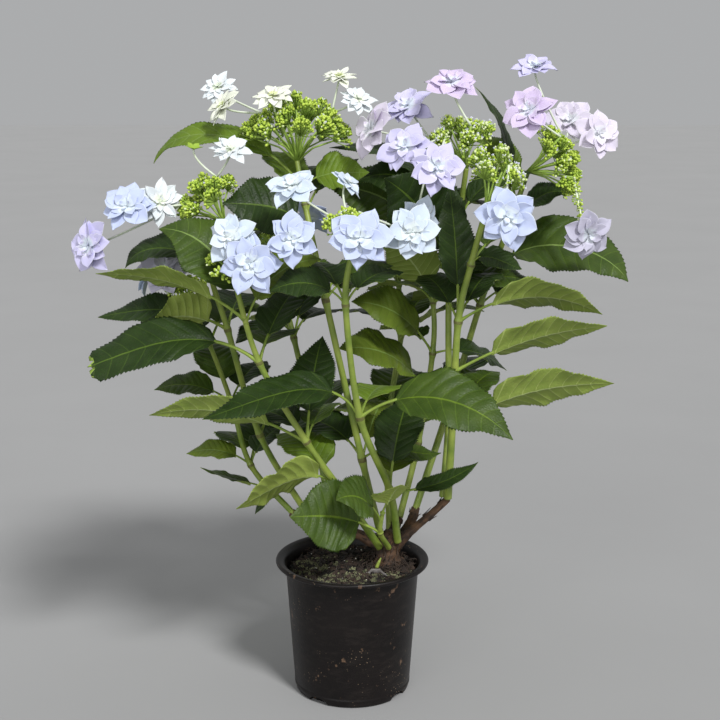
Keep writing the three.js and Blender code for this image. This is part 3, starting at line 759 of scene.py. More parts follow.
def ball():
    """A small round bead: an icosahedron on the unit sphere."""
    turns = np.radians(72 * np.arange(5))
    ring = np.stack([np.cos(turns), np.sin(turns), 0.5 + 0 * turns], -1)
    points = unit(np.vstack([[(0, 0, 1)], ring, ring * [-1, -1, -1], [(0, 0, -1)]]))
    faces = []
    for k in range(5):
        a, b = 1 + k, 1 + (k + 1) % 5
        low, next_low = 6 + (k + 3) % 5, 6 + (k + 4) % 5
        faces += [(0, a, b), (a, low, b), (b, low, next_low), (11, next_low, low)]
    return points, np.array(faces)


def eight_faced():
    """The smallest bead: an octahedron on the unit sphere."""
    points = [(1, 0, 0), (0, 1, 0), (-1, 0, 0), (0, -1, 0), (0, 0, 1), (0, 0, -1)]
    upper = [(4, k, (k + 1) % 4) for k in range(4)]
    lower = [(5, (k + 1) % 4, k) for k in range(4)]
    return np.array(points, float), np.array(upper + lower)


BEAD_POINTS, BEAD_FACES = ball()
SEED_POINTS, SEED_FACES = eight_faced()

WAVES_EACH = 4
WAVE_HEIGHT = 0.3
FINER = 1.9  # how much finer each octave of waves is
FAINTER = 1.8


def waves(points, length, salt, octaves=3):
    """A smooth uneven field over points, about -1 to 1, with bumps of the given length."""
    source = np.random.default_rng(salt)
    field = np.zeros(points.shape[:-1])
    for k in range(octaves):
        for _ in range(WAVES_EACH):
            direction = unit(source.normal(size=3)) * 2 * np.pi * FINER**k / length
            field += np.sin(points @ direction + source.uniform(0, FULL_TURN)) * WAVE_HEIGHT / FAINTER**k
    return field


# ---------------------------------------------------------------- how a material is made

LOOKS = {}
SHADER = "Principled BSDF"
CLOUD_LOW, CLOUD_HIGH = 0.3, 0.7  # the noise values at which the first and second colour are pure
GRAIN_DEPTH = 0.0006
PUCKER_SCALE = 330
PUCKER_STRENGTH = 0.35
PUCKER_DEPTH = 0.0012


def add_node(tree, kind, **values):
    """A shader node with values on its sockets; an underscore in their names stands for a space."""
    node = tree.nodes.new("ShaderNode" + kind)
    for socket, value in values.items():
        node.inputs[socket.replace("_", " ")].default_value = value
    return node


def add_texture(tree, kind, **values):
    """A node that reads the place on the object, in metres."""
    texture = add_node(tree, kind, **values)
    tree.links.new(tree.nodes["Texture Coordinate"].outputs["Object"], texture.inputs["Vector"])
    return texture


def add_limits(tree, value, low, high):
    """How far a value has come from low to high, held from 0 to 1."""
    limits = add_node(tree, "MapRange", From_Min=low, From_Max=high)
    tree.links.new(value, limits.inputs["Value"])
    return limits.outputs["Result"]


def add_mix(tree, amount, second):
    """Lays a second colour over the one that comes in at socket A."""
    mix = tree.nodes.new("ShaderNodeMix")
    mix.data_type = "RGBA"
    mix.inputs["B"].default_value = (*second, 1)
    tree.links.new(amount, mix.inputs["Factor"])
    return mix


def add_relief(tree, height, strength, depth):
    bump = add_node(tree, "Bump", Strength=strength, Distance=depth)
    tree.links.new(height, bump.inputs["Height"])
    tree.links.new(bump.outputs["Normal"], tree.nodes[SHADER].inputs["Normal"])


def add_look(name, color, second, roughness, scale=90, bump=0, bump_scale=600, **shader):
    """A material whose colour wanders between two close colours, with fine relief if it has a bump."""
    material = bpy.data.materials.new(name)
    material.use_nodes = True
    tree = material.node_tree
    tree.nodes.new("ShaderNodeTexCoord")
    surface = tree.nodes[SHADER]
    for socket, value in {"Roughness": roughness, **shader}.items():
        surface.inputs[socket.replace("_", " ")].default_value = value
    clouds = add_texture(tree, "TexNoise", Scale=scale, Detail=4)
    mix = add_mix(tree, add_limits(tree, clouds.outputs["Fac"], CLOUD_LOW, CLOUD_HIGH), second)
    mix.inputs["A"].default_value = (*color, 1)
    tree.links.new(mix.outputs["Result"], surface.inputs["Base Color"])
    if bump:
        grain = add_texture(tree, "TexNoise", Scale=bump_scale, Detail=3)
        add_relief(tree, grain.outputs["Fac"], bump, GRAIN_DEPTH)
    LOOKS[name] = material
    return tree


# ---------------------------------------------------------------- materials

# The two colours and the roughness of each look of the leaves.
LEAF_COLOURS = {
    "leaf_deep": [(0.013, 0.028, 0.005), (0.024, 0.046, 0.009), 0.45],
    "leaf_mid": [(0.034, 0.062, 0.009), (0.056, 0.092, 0.013), 0.45],
    "leaf_fresh": [(0.09, 0.15, 0.013), (0.13, 0.2, 0.02), 0.45],
    "leaf_olive": [(0.08, 0.12, 0.012), (0.115, 0.16, 0.018), 0.55],
    "deep_vein": [(0.026, 0.05, 0.008), (0.044, 0.078, 0.013), 0.45],
    "leaf_vein": [(0.058, 0.1, 0.012), (0.082, 0.135, 0.018), 0.45],
    "leaf_rib": [(0.14, 0.215, 0.05), (0.185, 0.265, 0.07), 0.45],
    "leaf_edge": [(0.26, 0.38, 0.06), (0.34, 0.46, 0.1), 0.45],
    # Undersides: their own paler green, brightened with painted light that stands for light shining through
    # the blade and bounced up from the floor.
    "under_olive_backlit": [(0.19, 0.255, 0.048), (0.24, 0.31, 0.065), 0.6],
    "under_fresh_backlit": [(0.24, 0.31, 0.06), (0.3, 0.375, 0.08), 0.6],
    "under_vein_backlit": [(0.3, 0.37, 0.1), (0.35, 0.43, 0.13), 0.55],
    "under_rib_backlit": [(0.34, 0.42, 0.15), (0.4, 0.48, 0.19), 0.5],
    "petiole": [(0.16, 0.24, 0.036), (0.28, 0.37, 0.07), 0.42],
}

# The two colours of a sepal's outer part, of its rim and inner part, and of its heart, for each tint.
PETAL_PARTS = ("_out", "_in", "_heart")
PETAL_COLOURS = {
    "cream": [
        [(0.74, 0.77, 0.65), (0.79, 0.81, 0.7)],
        [(0.77, 0.79, 0.72), (0.81, 0.81, 0.77)],
        [(0.72, 0.77, 0.53), (0.74, 0.81, 0.43)],
    ],
    "white": [
        [(0.69, 0.74, 0.77), (0.74, 0.79, 0.81)],
        [(0.75, 0.78, 0.79), (0.8, 0.81, 0.81)],
        [(0.7, 0.77, 0.63), (0.76, 0.81, 0.68)],
    ],
    "ice": [
        [(0.58, 0.66, 0.79), (0.62, 0.71, 0.81)],
        [(0.68, 0.74, 0.81), (0.73, 0.79, 0.81)],
        [(0.7, 0.77, 0.77), (0.76, 0.81, 0.81)],
    ],
    "blue": [
        [(0.49, 0.55, 0.77), (0.53, 0.6, 0.81)],
        [(0.59, 0.65, 0.8), (0.63, 0.7, 0.81)],
        [(0.65, 0.72, 0.79), (0.7, 0.77, 0.81)],
    ],
    "lilac": [
        [(0.55, 0.53, 0.76), (0.6, 0.57, 0.81)],
        [(0.64, 0.63, 0.79), (0.69, 0.68, 0.81)],
        [(0.65, 0.7, 0.79), (0.7, 0.76, 0.81)],
    ],
    "pink": [
        [(0.6, 0.5, 0.7), (0.64, 0.54, 0.76)],
        [(0.68, 0.61, 0.77), (0.73, 0.65, 0.81)],
        [(0.65, 0.67, 0.77), (0.7, 0.72, 0.81)],
    ],
    "blush": [
        [(0.65, 0.6, 0.72), (0.7, 0.64, 0.77)],
        [(0.72, 0.69, 0.77), (0.77, 0.74, 0.81)],
        [(0.69, 0.7, 0.75), (0.74, 0.76, 0.8)],
    ],
    # Painted shade: a dimmed, greyer copy of the blue and lilac tints, for florets that sit in shade.
    "dusk": [
        [(0.48, 0.47, 0.58), (0.52, 0.5, 0.62)],
        [(0.56, 0.55, 0.66), (0.61, 0.6, 0.71)],
        [(0.56, 0.6, 0.65), (0.61, 0.64, 0.7)],
    ],
}


def make_leaf_looks():
    """A leaf's skin, a little see-through and puckered between its smallest veins."""
    for name, (color, second, roughness) in LEAF_COLOURS.items():
        tree = add_look(
            name, color, second, roughness, scale=55,
            Subsurface_Weight=0.05, Subsurface_Scale=0.002, Subsurface_Radius=(0.4, 1.0, 0.2),
            Specular_IOR_Level=0.22,
        )
        cells = add_texture(tree, "TexVoronoi", Scale=PUCKER_SCALE)
        cells.feature = "DISTANCE_TO_EDGE"
        add_relief(tree, cells.outputs["Distance"], PUCKER_STRENGTH, PUCKER_DEPTH)


def make_petal_looks():
    """Matt and soft, with the faintest grain."""
    for tint, parts in PETAL_COLOURS.items():
        for part, (color, second) in zip(PETAL_PARTS, parts):
            add_look(
                tint + part, color, second, 0.7, scale=120, bump=0.12, bump_scale=420,
                Sheen_Weight=0.1, Specular_IOR_Level=0.2,
            )


def make_bud_looks():
    add_look("ray", (0.24, 0.38, 0.05), (0.36, 0.5, 0.1), 0.5, scale=120)
    add_look("pedicel", (0.62, 0.7, 0.5), (0.72, 0.76, 0.66), 0.5, scale=120)
    add_look("bud", (0.4, 0.54, 0.05), (0.54, 0.68, 0.1), 0.55, scale=160)
    add_look("bud_deep", (0.23, 0.36, 0.03), (0.34, 0.48, 0.05), 0.55, scale=160)
    add_look("bud_pale", (0.6, 0.7, 0.32), (0.72, 0.78, 0.5), 0.5, scale=160)
    add_look("stamen", (0.8, 0.8, 0.9), (0.7, 0.72, 0.9), 0.5, scale=200)


def make_wood_looks():
    add_look("stem", (0.13, 0.205, 0.026), (0.3, 0.37, 0.065), 0.42, scale=45, bump=0.3)
    add_look("stem_node", (0.09, 0.075, 0.022), (0.17, 0.19, 0.045), 0.6, scale=200, bump=0.6)
    add_look("bark", (0.12, 0.062, 0.03), (0.012, 0.008, 0.006), 0.8, scale=110, bump=1, bump_scale=350)
    add_look("fibre", (0.012, 0.008, 0.006), (0.06, 0.038, 0.025), 0.9, scale=60)


def make_soil_looks():
    add_look("soil", (0.004, 0.0033, 0.0028), (0.013, 0.009, 0.0065), 0.95, scale=240, bump=1)
    add_look("chip", (0.008, 0.006, 0.005), (0.055, 0.032, 0.021), 0.85, scale=60, bump=0.8)
    add_look("crumb", (0.004, 0.0034, 0.003), (0.018, 0.013, 0.0095), 0.95, scale=200, bump=0.8)
    add_look("perlite", (0.75, 0.73, 0.66), (0.85, 0.84, 0.8), 0.9, scale=500)
    add_look("moss", (0.035, 0.04, 0.017), (0.26, 0.26, 0.145), 0.9, scale=120)
    add_look("dry", (0.1, 0.088, 0.082), (0.3, 0.28, 0.27), 0.8, scale=150, bump=0.5)


def make_pot_look():
    """Near-black plastic with faint lengthwise scuffs, smears of earth and fine tan specks."""
    tree = add_look(
        "pot", (0.004, 0.003, 0.003), (0.008, 0.006, 0.0055), 0.4, scale=22, bump=0.2, Specular_IOR_Level=0.22
    )
    surface = tree.nodes[SHADER]
    base = surface.inputs["Base Color"].links[0].from_socket

    def clouds(scale, low, high, stretch=(1, 1, 1)):
        mapping = add_texture(tree, "Mapping", Scale=stretch)
        texture = add_node(tree, "TexNoise", Scale=scale, Detail=6, Roughness=0.65)
        tree.links.new(mapping.outputs["Vector"], texture.inputs["Vector"])
        return add_limits(tree, texture.outputs["Fac"], low, high)

    specks = add_texture(tree, "TexVoronoi", Scale=330)
    in_patches = tree.nodes.new("ShaderNodeMath")
    in_patches.operation = "MULTIPLY"
    tree.links.new(add_limits(tree, specks.outputs["Distance"], 0.2, 0.1), in_patches.inputs[0])
    tree.links.new(clouds(28, 0.52, 0.6), in_patches.inputs[1])
    scuffs = clouds(55, 0.5, 0.8, (1, 1, 3))
    smears = clouds(70, 0.64, 0.7)
    layers = (
        (scuffs, (0.017, 0.0135, 0.0118)),
        (smears, (0.13, 0.08, 0.05)),
        (in_patches.outputs["Value"], (0.24, 0.17, 0.11)),
    )
    for amount, color in layers:
        mix = add_mix(tree, amount, color)
        tree.links.new(base, mix.inputs["A"])
        base = mix.outputs["Result"]
    tree.links.new(base, surface.inputs["Base Color"])


# ---------------------------------------------------------------- leaves

VEINS = 8  # side veins on each half
VEIN_PHASES = [0, 0.06, 0.22, 0.4, 0.58, 0.76, 0.92]  # rows from each side vein to the next
VEIN_WIDTH = 0.06  # a phase up to this one is the vein itself
PLAIN = 0.5  # the phase of rows that have no vein and no tooth
FIRST_VEIN, LAST_VEIN = 0.03, 0.93
BASE_ROWS = (0, 0.012)
TIP_ROWS = (LAST_VEIN, 0.95, 0.97, 0.985, 0.995)
VEIN_LEAN = 0.25
COLUMNS = np.array([0.03, 0.13, 0.32, 0.54, 0.76, 0.94, 1.0])  # from the midrib to the edge
LEAF_SHEET = 0.45  # thickness of the blade
BLADE, VEIN, UNDER_BLADE, MIDRIB, UNDER_MIDRIB = 0, 1, 2, 4, 5  # kinds of faces; 3 is a vein below

TEETH = 3  # on the edge, from each side vein to the next
TOOTH_PHASE = 0.08
TOOTH_SIZES = (0.7, 1.25)
TOOTH_DEPTH = 1.1
TOOTH_LEAN = 0.006  # towards the tip, as a share of the blade
TOOTHED_WIDTH = 6  # teeth are smaller where half of the blade is narrower
TIP_START = 0.62  # the blade slims from here to its tip
TIP_SLIMMING = 0.42
EDGE_WANDER = 0.04
QUILTING = 0.055
FOLDS, FINE_FOLDS = 0.085, 0.035  # the edge's waves, as shares of half the width
FOLD_RATES = (1.4, 2.6)  # waves along the blade
FINER_FOLDS = 2.3
GROOVE_DEPTH, GROOVE_WIDTH = 0.9, 0.14  # along the midrib, above
RIB_DEPTH, RIB_WIDTH = 1.5, 0.11  # along the midrib, below
VEIN_DEPTH = 0.3
TORN_END = 0.84  # where the blade of a torn leaf ends
TORN_SHAPE = 0.8  # its outline is that of this first share of a whole leaf
TORN_RIM = 0.012

# Looks of the blade and the side veins above, of both below, and of the midrib above and below.
# The looks below are the undersides' own paler green, brightened with painted light from behind the blade.
TONES = {
    "deep": ["leaf_deep", "deep_vein", "under_olive_backlit", "under_vein_backlit", "leaf_vein", "under_rib_backlit"],
    "mid": ["leaf_mid", "leaf_vein", "under_olive_backlit", "under_vein_backlit", "leaf_fresh", "under_rib_backlit"],
    "fresh": ["leaf_fresh", "leaf_rib", "under_fresh_backlit", "under_vein_backlit", "leaf_rib", "under_rib_backlit"],
    "olive": ["leaf_olive", "leaf_fresh", "under_fresh_backlit", "under_vein_backlit", "leaf_rib", "under_rib_backlit"],
    "shaded": ["leaf_mid", "leaf_vein", "leaf_olive", "under_olive_backlit", "leaf_rib", "under_rib_backlit"],
}
TONE_CHANCES = {"deep": 0.45, "mid": 0.35, "fresh": 0.08, "olive": 0.12}

PETIOLE_ROWS = 11
PETIOLE_SIDES = 8
PETIOLE_END = 1.1 * PETIOLE_SHARE  # a little way into the blade
USUAL_LEAF = 110  # the length of a leaf whose stalk has the radii below
PETIOLE_WIDE, PETIOLE_CLASP, PETIOLE_TAPER = 1.65, 1.5, 1.6
CLASP_SHARE = 0.03

FOLIAGE_GROUPS = {
    "foliage_left": ["left", "far_left", "low_left", "back_left"],
    "foliage_middle": ["front", "upper_left", "middle", "basal"],
    "foliage_right": ["upper_mid", "right", "far_right", "back_right"],
}
draw_leaf = np.random.default_rng(11)


def leaf_grid():
    """Rows, phases, columns and layer of a leaf's points, and the kind of each of its faces."""
    step = (LAST_VEIN - FIRST_VEIN) / VEINS
    rows = [(u, PLAIN) for u in BASE_ROWS]
    rows += [(FIRST_VEIN + (k + p) * step, p) for k in range(VEINS) for p in VEIN_PHASES]
    rows += [(u, PLAIN) for u in TIP_ROWS]
    u, phase = np.array(rows).T
    across = np.concatenate([-COLUMNS[::-1], COLUMNS])
    v = np.concatenate([across, across[-2:0:-1]])
    under = np.arange(len(v)) >= len(across)
    kinds = np.full((len(u) - 1, len(v)), BLADE)
    kinds[:, len(across) - 1 :] = UNDER_BLADE
    kinds[phase[:-1] == 0] += VEIN
    kinds[:, len(COLUMNS) - 1] = MIDRIB
    kinds[:, len(v) - len(COLUMNS)] = UNDER_MIDRIB
    return u, phase, v, under, kinds.ravel()


LEAF_U, LEAF_PHASE, LEAF_V, LEAF_UNDER, LEAF_KINDS = leaf_grid()
LEAF_FACES = sheet_faces(len(LEAF_U), len(LEAF_V))
LEAF_CAPS = len(LEAF_FACES) - len(LEAF_KINDS)


def blade_relief(half, u, v, fold_rate, wobble):
    """How the blade's upper side stands off its midrib: cupped, quilted, folded and grooved."""
    width = np.abs(v)
    wave = 2 * np.pi * fold_rate * u + np.where(v > 0, wobble[0], wobble[1])
    fine_wave = 2 * np.pi * FINER_FOLDS * fold_rate * u + np.where(v > 0, wobble[2], wobble[3])
    height = half * (EDGE_RISE - EDGE_FALL * u) * width**1.2
    height += QUILTING * half * np.sin(np.pi * LEAF_PHASE[:, None]) * width**0.5 * (1 - width**4)
    height += FOLDS * half * width**3 * np.sin(wave)
    height += FINE_FOLDS * half * width**2 * np.sin(fine_wave)
    height -= GROOVE_DEPTH * np.clip(1 - width / GROOVE_WIDTH, 0, 1) * (1 - u)
    return height


def blade_depth(u, width):
    """How far the blade's under side lies below the upper one, with its midrib and side veins."""
    rib = RIB_DEPTH * (1 - u) ** 0.7 * np.clip(1 - (width - COLUMNS[0]) / RIB_WIDTH, 0, 1)
    vein = VEIN_DEPTH * (1 - width**2) * (LEAF_PHASE[:, None] <= VEIN_WIDTH) * (1 - 0.5 * u)
    return np.where(LEAF_UNDER[None, :], LEAF_SHEET + rib + vein, 0)


def add_blade(pile, leaf, tone, torn=False):
    """The toothed and quilted blade of one leaf, as a thin closed sheet round its midrib."""
    saw = draw_leaf.uniform(*TOOTH_SIZES, (len(LEAF_U), 1))
    wobble = draw_leaf.uniform(0, FULL_TURN, 6)
    fold_rate = draw_leaf.uniform(*FOLD_RATES)
    u0, phase, v = LEAF_U[:, None], LEAF_PHASE[:, None], LEAF_V[None, :]
    width = np.abs(v)
    edge = width == 1
    tooth = np.where(phase == PLAIN, 0, saw * np.cos(2 * np.pi * TEETH * (phase - TOOTH_PHASE)))
    lean = VEIN_LEAN * width**1.2 * (1 - u0) * np.minimum(1, 0.25 + u0 / 0.1)
    u = np.minimum(u0 + lean + np.where(edge, TOOTH_LEAN * tooth, 0), 1)
    half = half_width(leaf, TORN_SHAPE * u if torn else u)
    slim = 1 - TIP_SLIMMING * np.clip((u - TIP_START) / (1 - TIP_START), 0, 1) ** 1.3
    toothed = np.minimum(1, half / TOOTHED_WIDTH)
    reach = half * slim + np.where(edge, TOOTH_DEPTH * tooth * toothed, 0)
    reach *= 1 + EDGE_WANDER * np.sin(7 * u + np.where(v > 0, wobble[0], wobble[1])) * width
    if torn:
        u = np.minimum(u, TORN_END + 0.02 * np.sin(9 * v + 1) + 0.012 * np.sin(31 * v))
    height = blade_relief(half, u, v, fold_rate, wobble[2:]) - blade_depth(u, width)
    at, side, up = midrib(leaf, (PETIOLE_SHARE + (1 - PETIOLE_SHARE) * u).ravel())
    points = at + (v * reach).reshape(-1, 1) * side + height.reshape(-1, 1) * up
    numbers = np.array([pile.looks.index(look) for look in TONES[tone]])
    looks = numbers[np.append(LEAF_KINDS, [UNDER_BLADE] * LEAF_CAPS)]
    if torn:
        rows = np.append(np.repeat(LEAF_U[:-1], len(LEAF_V)), [0] * LEAF_CAPS)
        looks = np.where(rows > TORN_END - TORN_RIM, pile.looks.index("leaf_edge"), looks)
    pile.add(points, LEAF_FACES, looks)


def add_petiole(pile, leaf):
    """The leaf's stalk, broad where it clasps the stem and slim where the blade starts."""
    t = np.linspace(0, PETIOLE_END, PETIOLE_ROWS)
    size = (math.hypot(leaf["reach"], leaf["lift"]) / USUAL_LEAF) ** 0.5
    radii = size * (PETIOLE_WIDE + PETIOLE_CLASP * np.exp(-t / CLASP_SHARE) - PETIOLE_TAPER * t)
    at, side, up = midrib(leaf, t)
    points = swept(at, side, 0.85 * up, radii, PETIOLE_SIDES)
    points[:, 2] -= 0.3 * radii[:, None] * up
    pile.add(points, tube_faces(PETIOLE_ROWS, PETIOLE_SIDES), "petiole")


def make_foliage(leaves):
    """All leaves, in three pieces, with tones dealt out leaf by leaf."""
    for piece_name, names in FOLIAGE_GROUPS.items():
        pile = Pile(list(LEAF_COLOURS))
        for name in names:
            for leaf in leaves[name]:
                chance = str(draw_leaf.choice(list(TONE_CHANCES), p=list(TONE_CHANCES.values())))
                tone = leaf.get("tone", chance)
                add_blade(pile, leaf, tone.removesuffix("_torn"), torn=tone.endswith("_torn"))
                add_petiole(pile, leaf)
        pile.piece(piece_name, "foliage", ["leaves_" + name for name in names])


# ---------------------------------------------------------------- florets

PETAL_ROWS = np.array([0, 0.12, 0.27, 0.42, 0.56, 0.7, 0.82, 0.92, 0.97, 1.0])
PETAL_COLUMNS = np.array([-1, -0.92, -0.5, 0, 0.5, 0.92, 1])
PETAL_SHEET = 0.25
PETAL_CUP = (0.05, 0.3)
PETAL_WAVE = (-0.05, 0.05)
PETAL_FURROW = 0.02
# A sepal's half width along it: a narrow claw, broadest a little past its middle, a pointed tip.
CLAW, CLAW_POWER = 0.07, 1.3
TIP_ROUNDNESS, TIP_POWER = 0.003, 1.1
PETAL_FULLNESS = 5.3
OUTER, INNER, HEART = range(3)  # kinds of a sepal's faces, in the order of PETAL_PARTS

# Each tier of a floret: sepals, reach as a share of the radius, lift, curl, half width.
TIERS = [(6, 1.0, 5, 0.1, 0.34), (6, 0.85, 12, 0.1, 0.34), (4, 0.55, 22, 0.06, 0.34), (3, 0.3, 45, 0, 0.3)]
TIER_RISE = 0.035
TIER_TWIST = 0.2
SLENDER_TINTS = ("cream", "white")  # florets of these tints have more sepals, and narrow ones
SLENDER_MORE, SLENDER_WIDTH = 2, 0.7
# How far single sepals depart from their tier.
SEPAL_TURN = (-13, 13)
SEPAL_SIZE = (0.88, 1.03)
SEPAL_TIP = (-20, 20)
SEPAL_CURL = (-0.08, 0.12)
SEPAL_BREADTH = (0.85, 1.1)
SEPAL_LIFT = (-9, 9)
HEART_RISE, HEART_RADIUS = 0.16, 0.9

# The small green floret of far_left: [x, y, z, azimuth, elevation, radius].
YOUNG_FLORET = [-147, -20, 546, -60, 72, 10]


def petal_kinds(tier):
    """The kind of each face of a sepal, paler in the upper tiers."""
    columns = 2 * len(PETAL_COLUMNS) - 2
    kinds = np.full((len(PETAL_ROWS) - 1, columns), OUTER)
    kinds[:, [0, len(PETAL_COLUMNS) - 2]] = INNER
    kinds[-1] = INNER
    kinds[: 2 + tier] = INNER
    kinds[: 1 + tier] = HEART
    return np.append(kinds.ravel(), [OUTER] * len(cap_faces(len(PETAL_ROWS), columns)))


def add_sepal(pile, centre, out, across, facing, length, lift, curl, width, looks):
    """One broad, pointed sepal, lightly cupped and furrowed, as a thin closed sheet."""
    v = np.concatenate([PETAL_COLUMNS, PETAL_COLUMNS[-2:0:-1]])[None, :]
    under = (np.arange(v.shape[1]) >= len(PETAL_COLUMNS))[None, :]
    u = PETAL_ROWS[:, None]
    outline = PETAL_FULLNESS * (CLAW + (1 - CLAW) * u) ** CLAW_POWER * (1 + TIP_ROUNDNESS - u) ** TIP_POWER
    half = width * length * outline
    a = math.radians(lift)
    along = length * (0.05 + 0.95 * u) * (1 + 0.04 * np.sin(5 * v + 40 * width))
    rise = along * math.sin(a) - curl * length * u**2.5
    cup = rng.uniform(*PETAL_CUP) * half * v**2
    wave = rng.uniform(*PETAL_WAVE) * length * v * np.sin(np.pi * u + rng.uniform(-0.6, 0.6))
    furrow = PETAL_FURROW * length * np.cos(1.5 * np.pi * v) * np.sin(np.pi * u)
    height = rise + cup + wave - furrow - np.where(under, PETAL_SHEET, 0)
    points = (
        centre
        + (along * math.cos(a) * np.ones_like(v))[..., None] * out
        + (half * v)[..., None] * across
        + height[..., None] * facing
    )
    pile.add(points, sheet_faces(*points.shape[:2])[:, ::-1], looks)


def add_floret(pile, floret):
    """Four tiers of sepals round a small heart, each tier turned from the one below."""
    centre, radius, tint = np.array(floret[:3], float), floret[5], floret[6]
    facing = heading(*(floret[7:] or floret[3:5]))
    side, top = floret_axes(facing)
    turned = rng.uniform(0, FULL_TURN)
    looks = np.array([pile.looks.index(tint + part) for part in PETAL_PARTS])
    for tier, (count, reach, lift, curl, width) in enumerate(TIERS):
        base = centre + TIER_RISE * radius * tier * facing
        if tint in SLENDER_TINTS:
            count, width = count + SLENDER_MORE, SLENDER_WIDTH * width
        for k in range(count):
            a = turned + 2 * math.pi * k / count + math.radians(rng.uniform(*SEPAL_TURN))
            out = math.cos(a) * side + math.sin(a) * top
            across = -math.sin(a) * side + math.cos(a) * top
            size = reach * radius * rng.uniform(*SEPAL_SIZE)
            tip = math.radians(rng.uniform(*SEPAL_TIP))
            tilted = math.cos(tip) * across + math.sin(tip) * facing
            up = np.cross(out, tilted)
            curled = curl + rng.uniform(*SEPAL_CURL)
            broad = width * rng.uniform(*SEPAL_BREADTH)
            lifted = lift + rng.uniform(*SEPAL_LIFT)
            add_sepal(pile, base, out, tilted, up, size, lifted, curled, broad, looks[petal_kinds(tier)])
        turned += math.pi / count + TIER_TWIST
    heart = centre + HEART_RISE * radius * facing
    pile.add(heart + HEART_RADIUS * BEAD_POINTS, BEAD_FACES, tint + "_heart")


def add_young_floret(buds, rays):
    """A floret of far_left that is still small and green."""
    centre, facing = np.array(YOUNG_FLORET[:3], float), heading(*YOUNG_FLORET[3:5])
    side, top = floret_axes(facing)
    for k in range(YOUNG_SEPALS):
        a = math.radians(360 / YOUNG_SEPALS * k + 10)
        out = math.cos(a) * side + math.sin(a) * top
        across = math.cos(a) * top - math.sin(a) * side
        shape = (YOUNG_FLORET[5], YOUNG_LIFT, YOUNG_CURL, YOUNG_WIDTH)
        add_sepal(buds, centre, out, across, facing, *shape, "bud_deep")
    far_left = next(shoot for shoot in SHOOTS if shoot["name"] == "far_left")
    add_pedicel(rays, far_left, YOUNG_FLORET)


# ---------------------------------------------------------------- flower heads

BUD_LOOKS = ["bud", "bud_deep", "bud_pale"]
BUD_AREA = 6.6  # of the head, seen from above, for each bud
BUD_LENGTH = 1.25  # of its width
BUD_SIZES = (0.95, 1.6)
DEEP_SHARE = 0.3
PALE_SHARE, OPEN_SHARE = 0.07, 0.02  # of the buds, pale ones and open ones with stamens
OPENING_HEADS = ("upper_mid", "right")
OPENING_PALE_SHARE, OPENING_OPEN_SHARE = 0.3, 0.14
STAMENS = 5
STAMEN_LENGTH = 3.0
GOLDEN = math.radians(137.508)
CLUSTER_AREA = 130  # square of the head's spread for each cluster of buds
FEWEST_CLUSTERS = 7
CLUSTER_SPREAD = 0.86
CLUSTER_RAGGED = (-0.12, 0.16)
DOME_TOP, DOME_FALL = 0.15, 0.8  # of the head's height: below its top, and from the middle to the rim
CLUSTER_TOP, CLUSTER_FALL = 0.08, 0.09  # how each cluster is rounded in the same way
GATHER = 0.3  # how far each bud is drawn towards its cluster
BUD_SCATTER = (-1.3, 1.3)
BUD_SINK = (-4.5, 1.2)
FORK_SHARE = 0.8  # where a cluster's ray forks, as a share of the cluster's distance from the middle
FORK_DROP = 0.22  # below the cluster, as a share of the head's rise
RAY_BOW = 0.06
RAY_RADII = [1.3, 1.1, 0.95, 0.8]
RAY_SIDES = 6
FINE_SIDES = 4  # of the finest stalks, blades and fibres
PEDICEL_SIDES = 8
PEDICEL_POINTS = 9
PEDICEL_STRAIGHT = 9  # its end, which runs straight into the floret's back
YOUNG_SEPALS = 5
YOUNG_LIFT, YOUNG_CURL, YOUNG_WIDTH = 32, 0.1, 0.28
HANGING_BUDS = 120
HANGING_FROM, HANGING_TO = 0.3, 5.6  # along the drooping stalk, in its points

TINT_GROUPS = {
    "florets_blue": ("petals", ["front", "left", "far_left", "right", "low_left", "back_left"]),
    "florets_white": ("petals_white", ["upper_left"]),
    "florets_pink": ("petals_pink", ["upper_mid", "far_right", "back_right"]),
}


def sunflower(count, spread):
    """Places spaced like a sunflower's seeds, and their distance from the middle as a share."""
    k = np.arange(count)
    r = spread * np.sqrt((k + 0.5) / count)
    return r * np.cos(k * GOLDEN), r * np.sin(k * GOLDEN), r / spread


def add_bud(pile, at, facing, size, look):
    """A round bud, a little longer than wide."""
    side, top = floret_axes(facing)
    points = BEAD_POINTS * [1, 1, BUD_LENGTH] * size
    pile.add(at + points[:, :1] * side + points[:, 1:2] * top + points[:, 2:] * facing, BEAD_FACES, look)


def add_stalked_bud(buds, rays, spot, fork, pale_share, open_share):
    """A bud on its own stalk from a fork, with a smaller one under it, and stamens if it is open."""
    along = unit(spot - fork)
    size = rng.uniform(*BUD_SIZES)
    chances = [1 - DEEP_SHARE - pale_share, DEEP_SHARE, pale_share]
    look = str(rng.choice(BUD_LOOKS, p=chances))
    add_bud(buds, spot, along, size, look)
    under = spot - 2.4 * along + rng.uniform(-1.6, 1.6, 3)
    buds.add(under + 0.8 * size * SEED_POINTS, SEED_FACES, "bud_deep")
    add_tube(rays, [fork - 0.5 * along, spot - 0.6 * size * along], [0.5, 0.38], FINE_SIDES, "ray")
    if rng.random() < open_share:
        for _ in range(STAMENS):
            tip = spot + STAMEN_LENGTH * unit(along + rng.uniform(-0.7, 0.7, 3))
            add_tube(rays, [spot, tip], [0.2, 0.3], FINE_SIDES, "stamen")


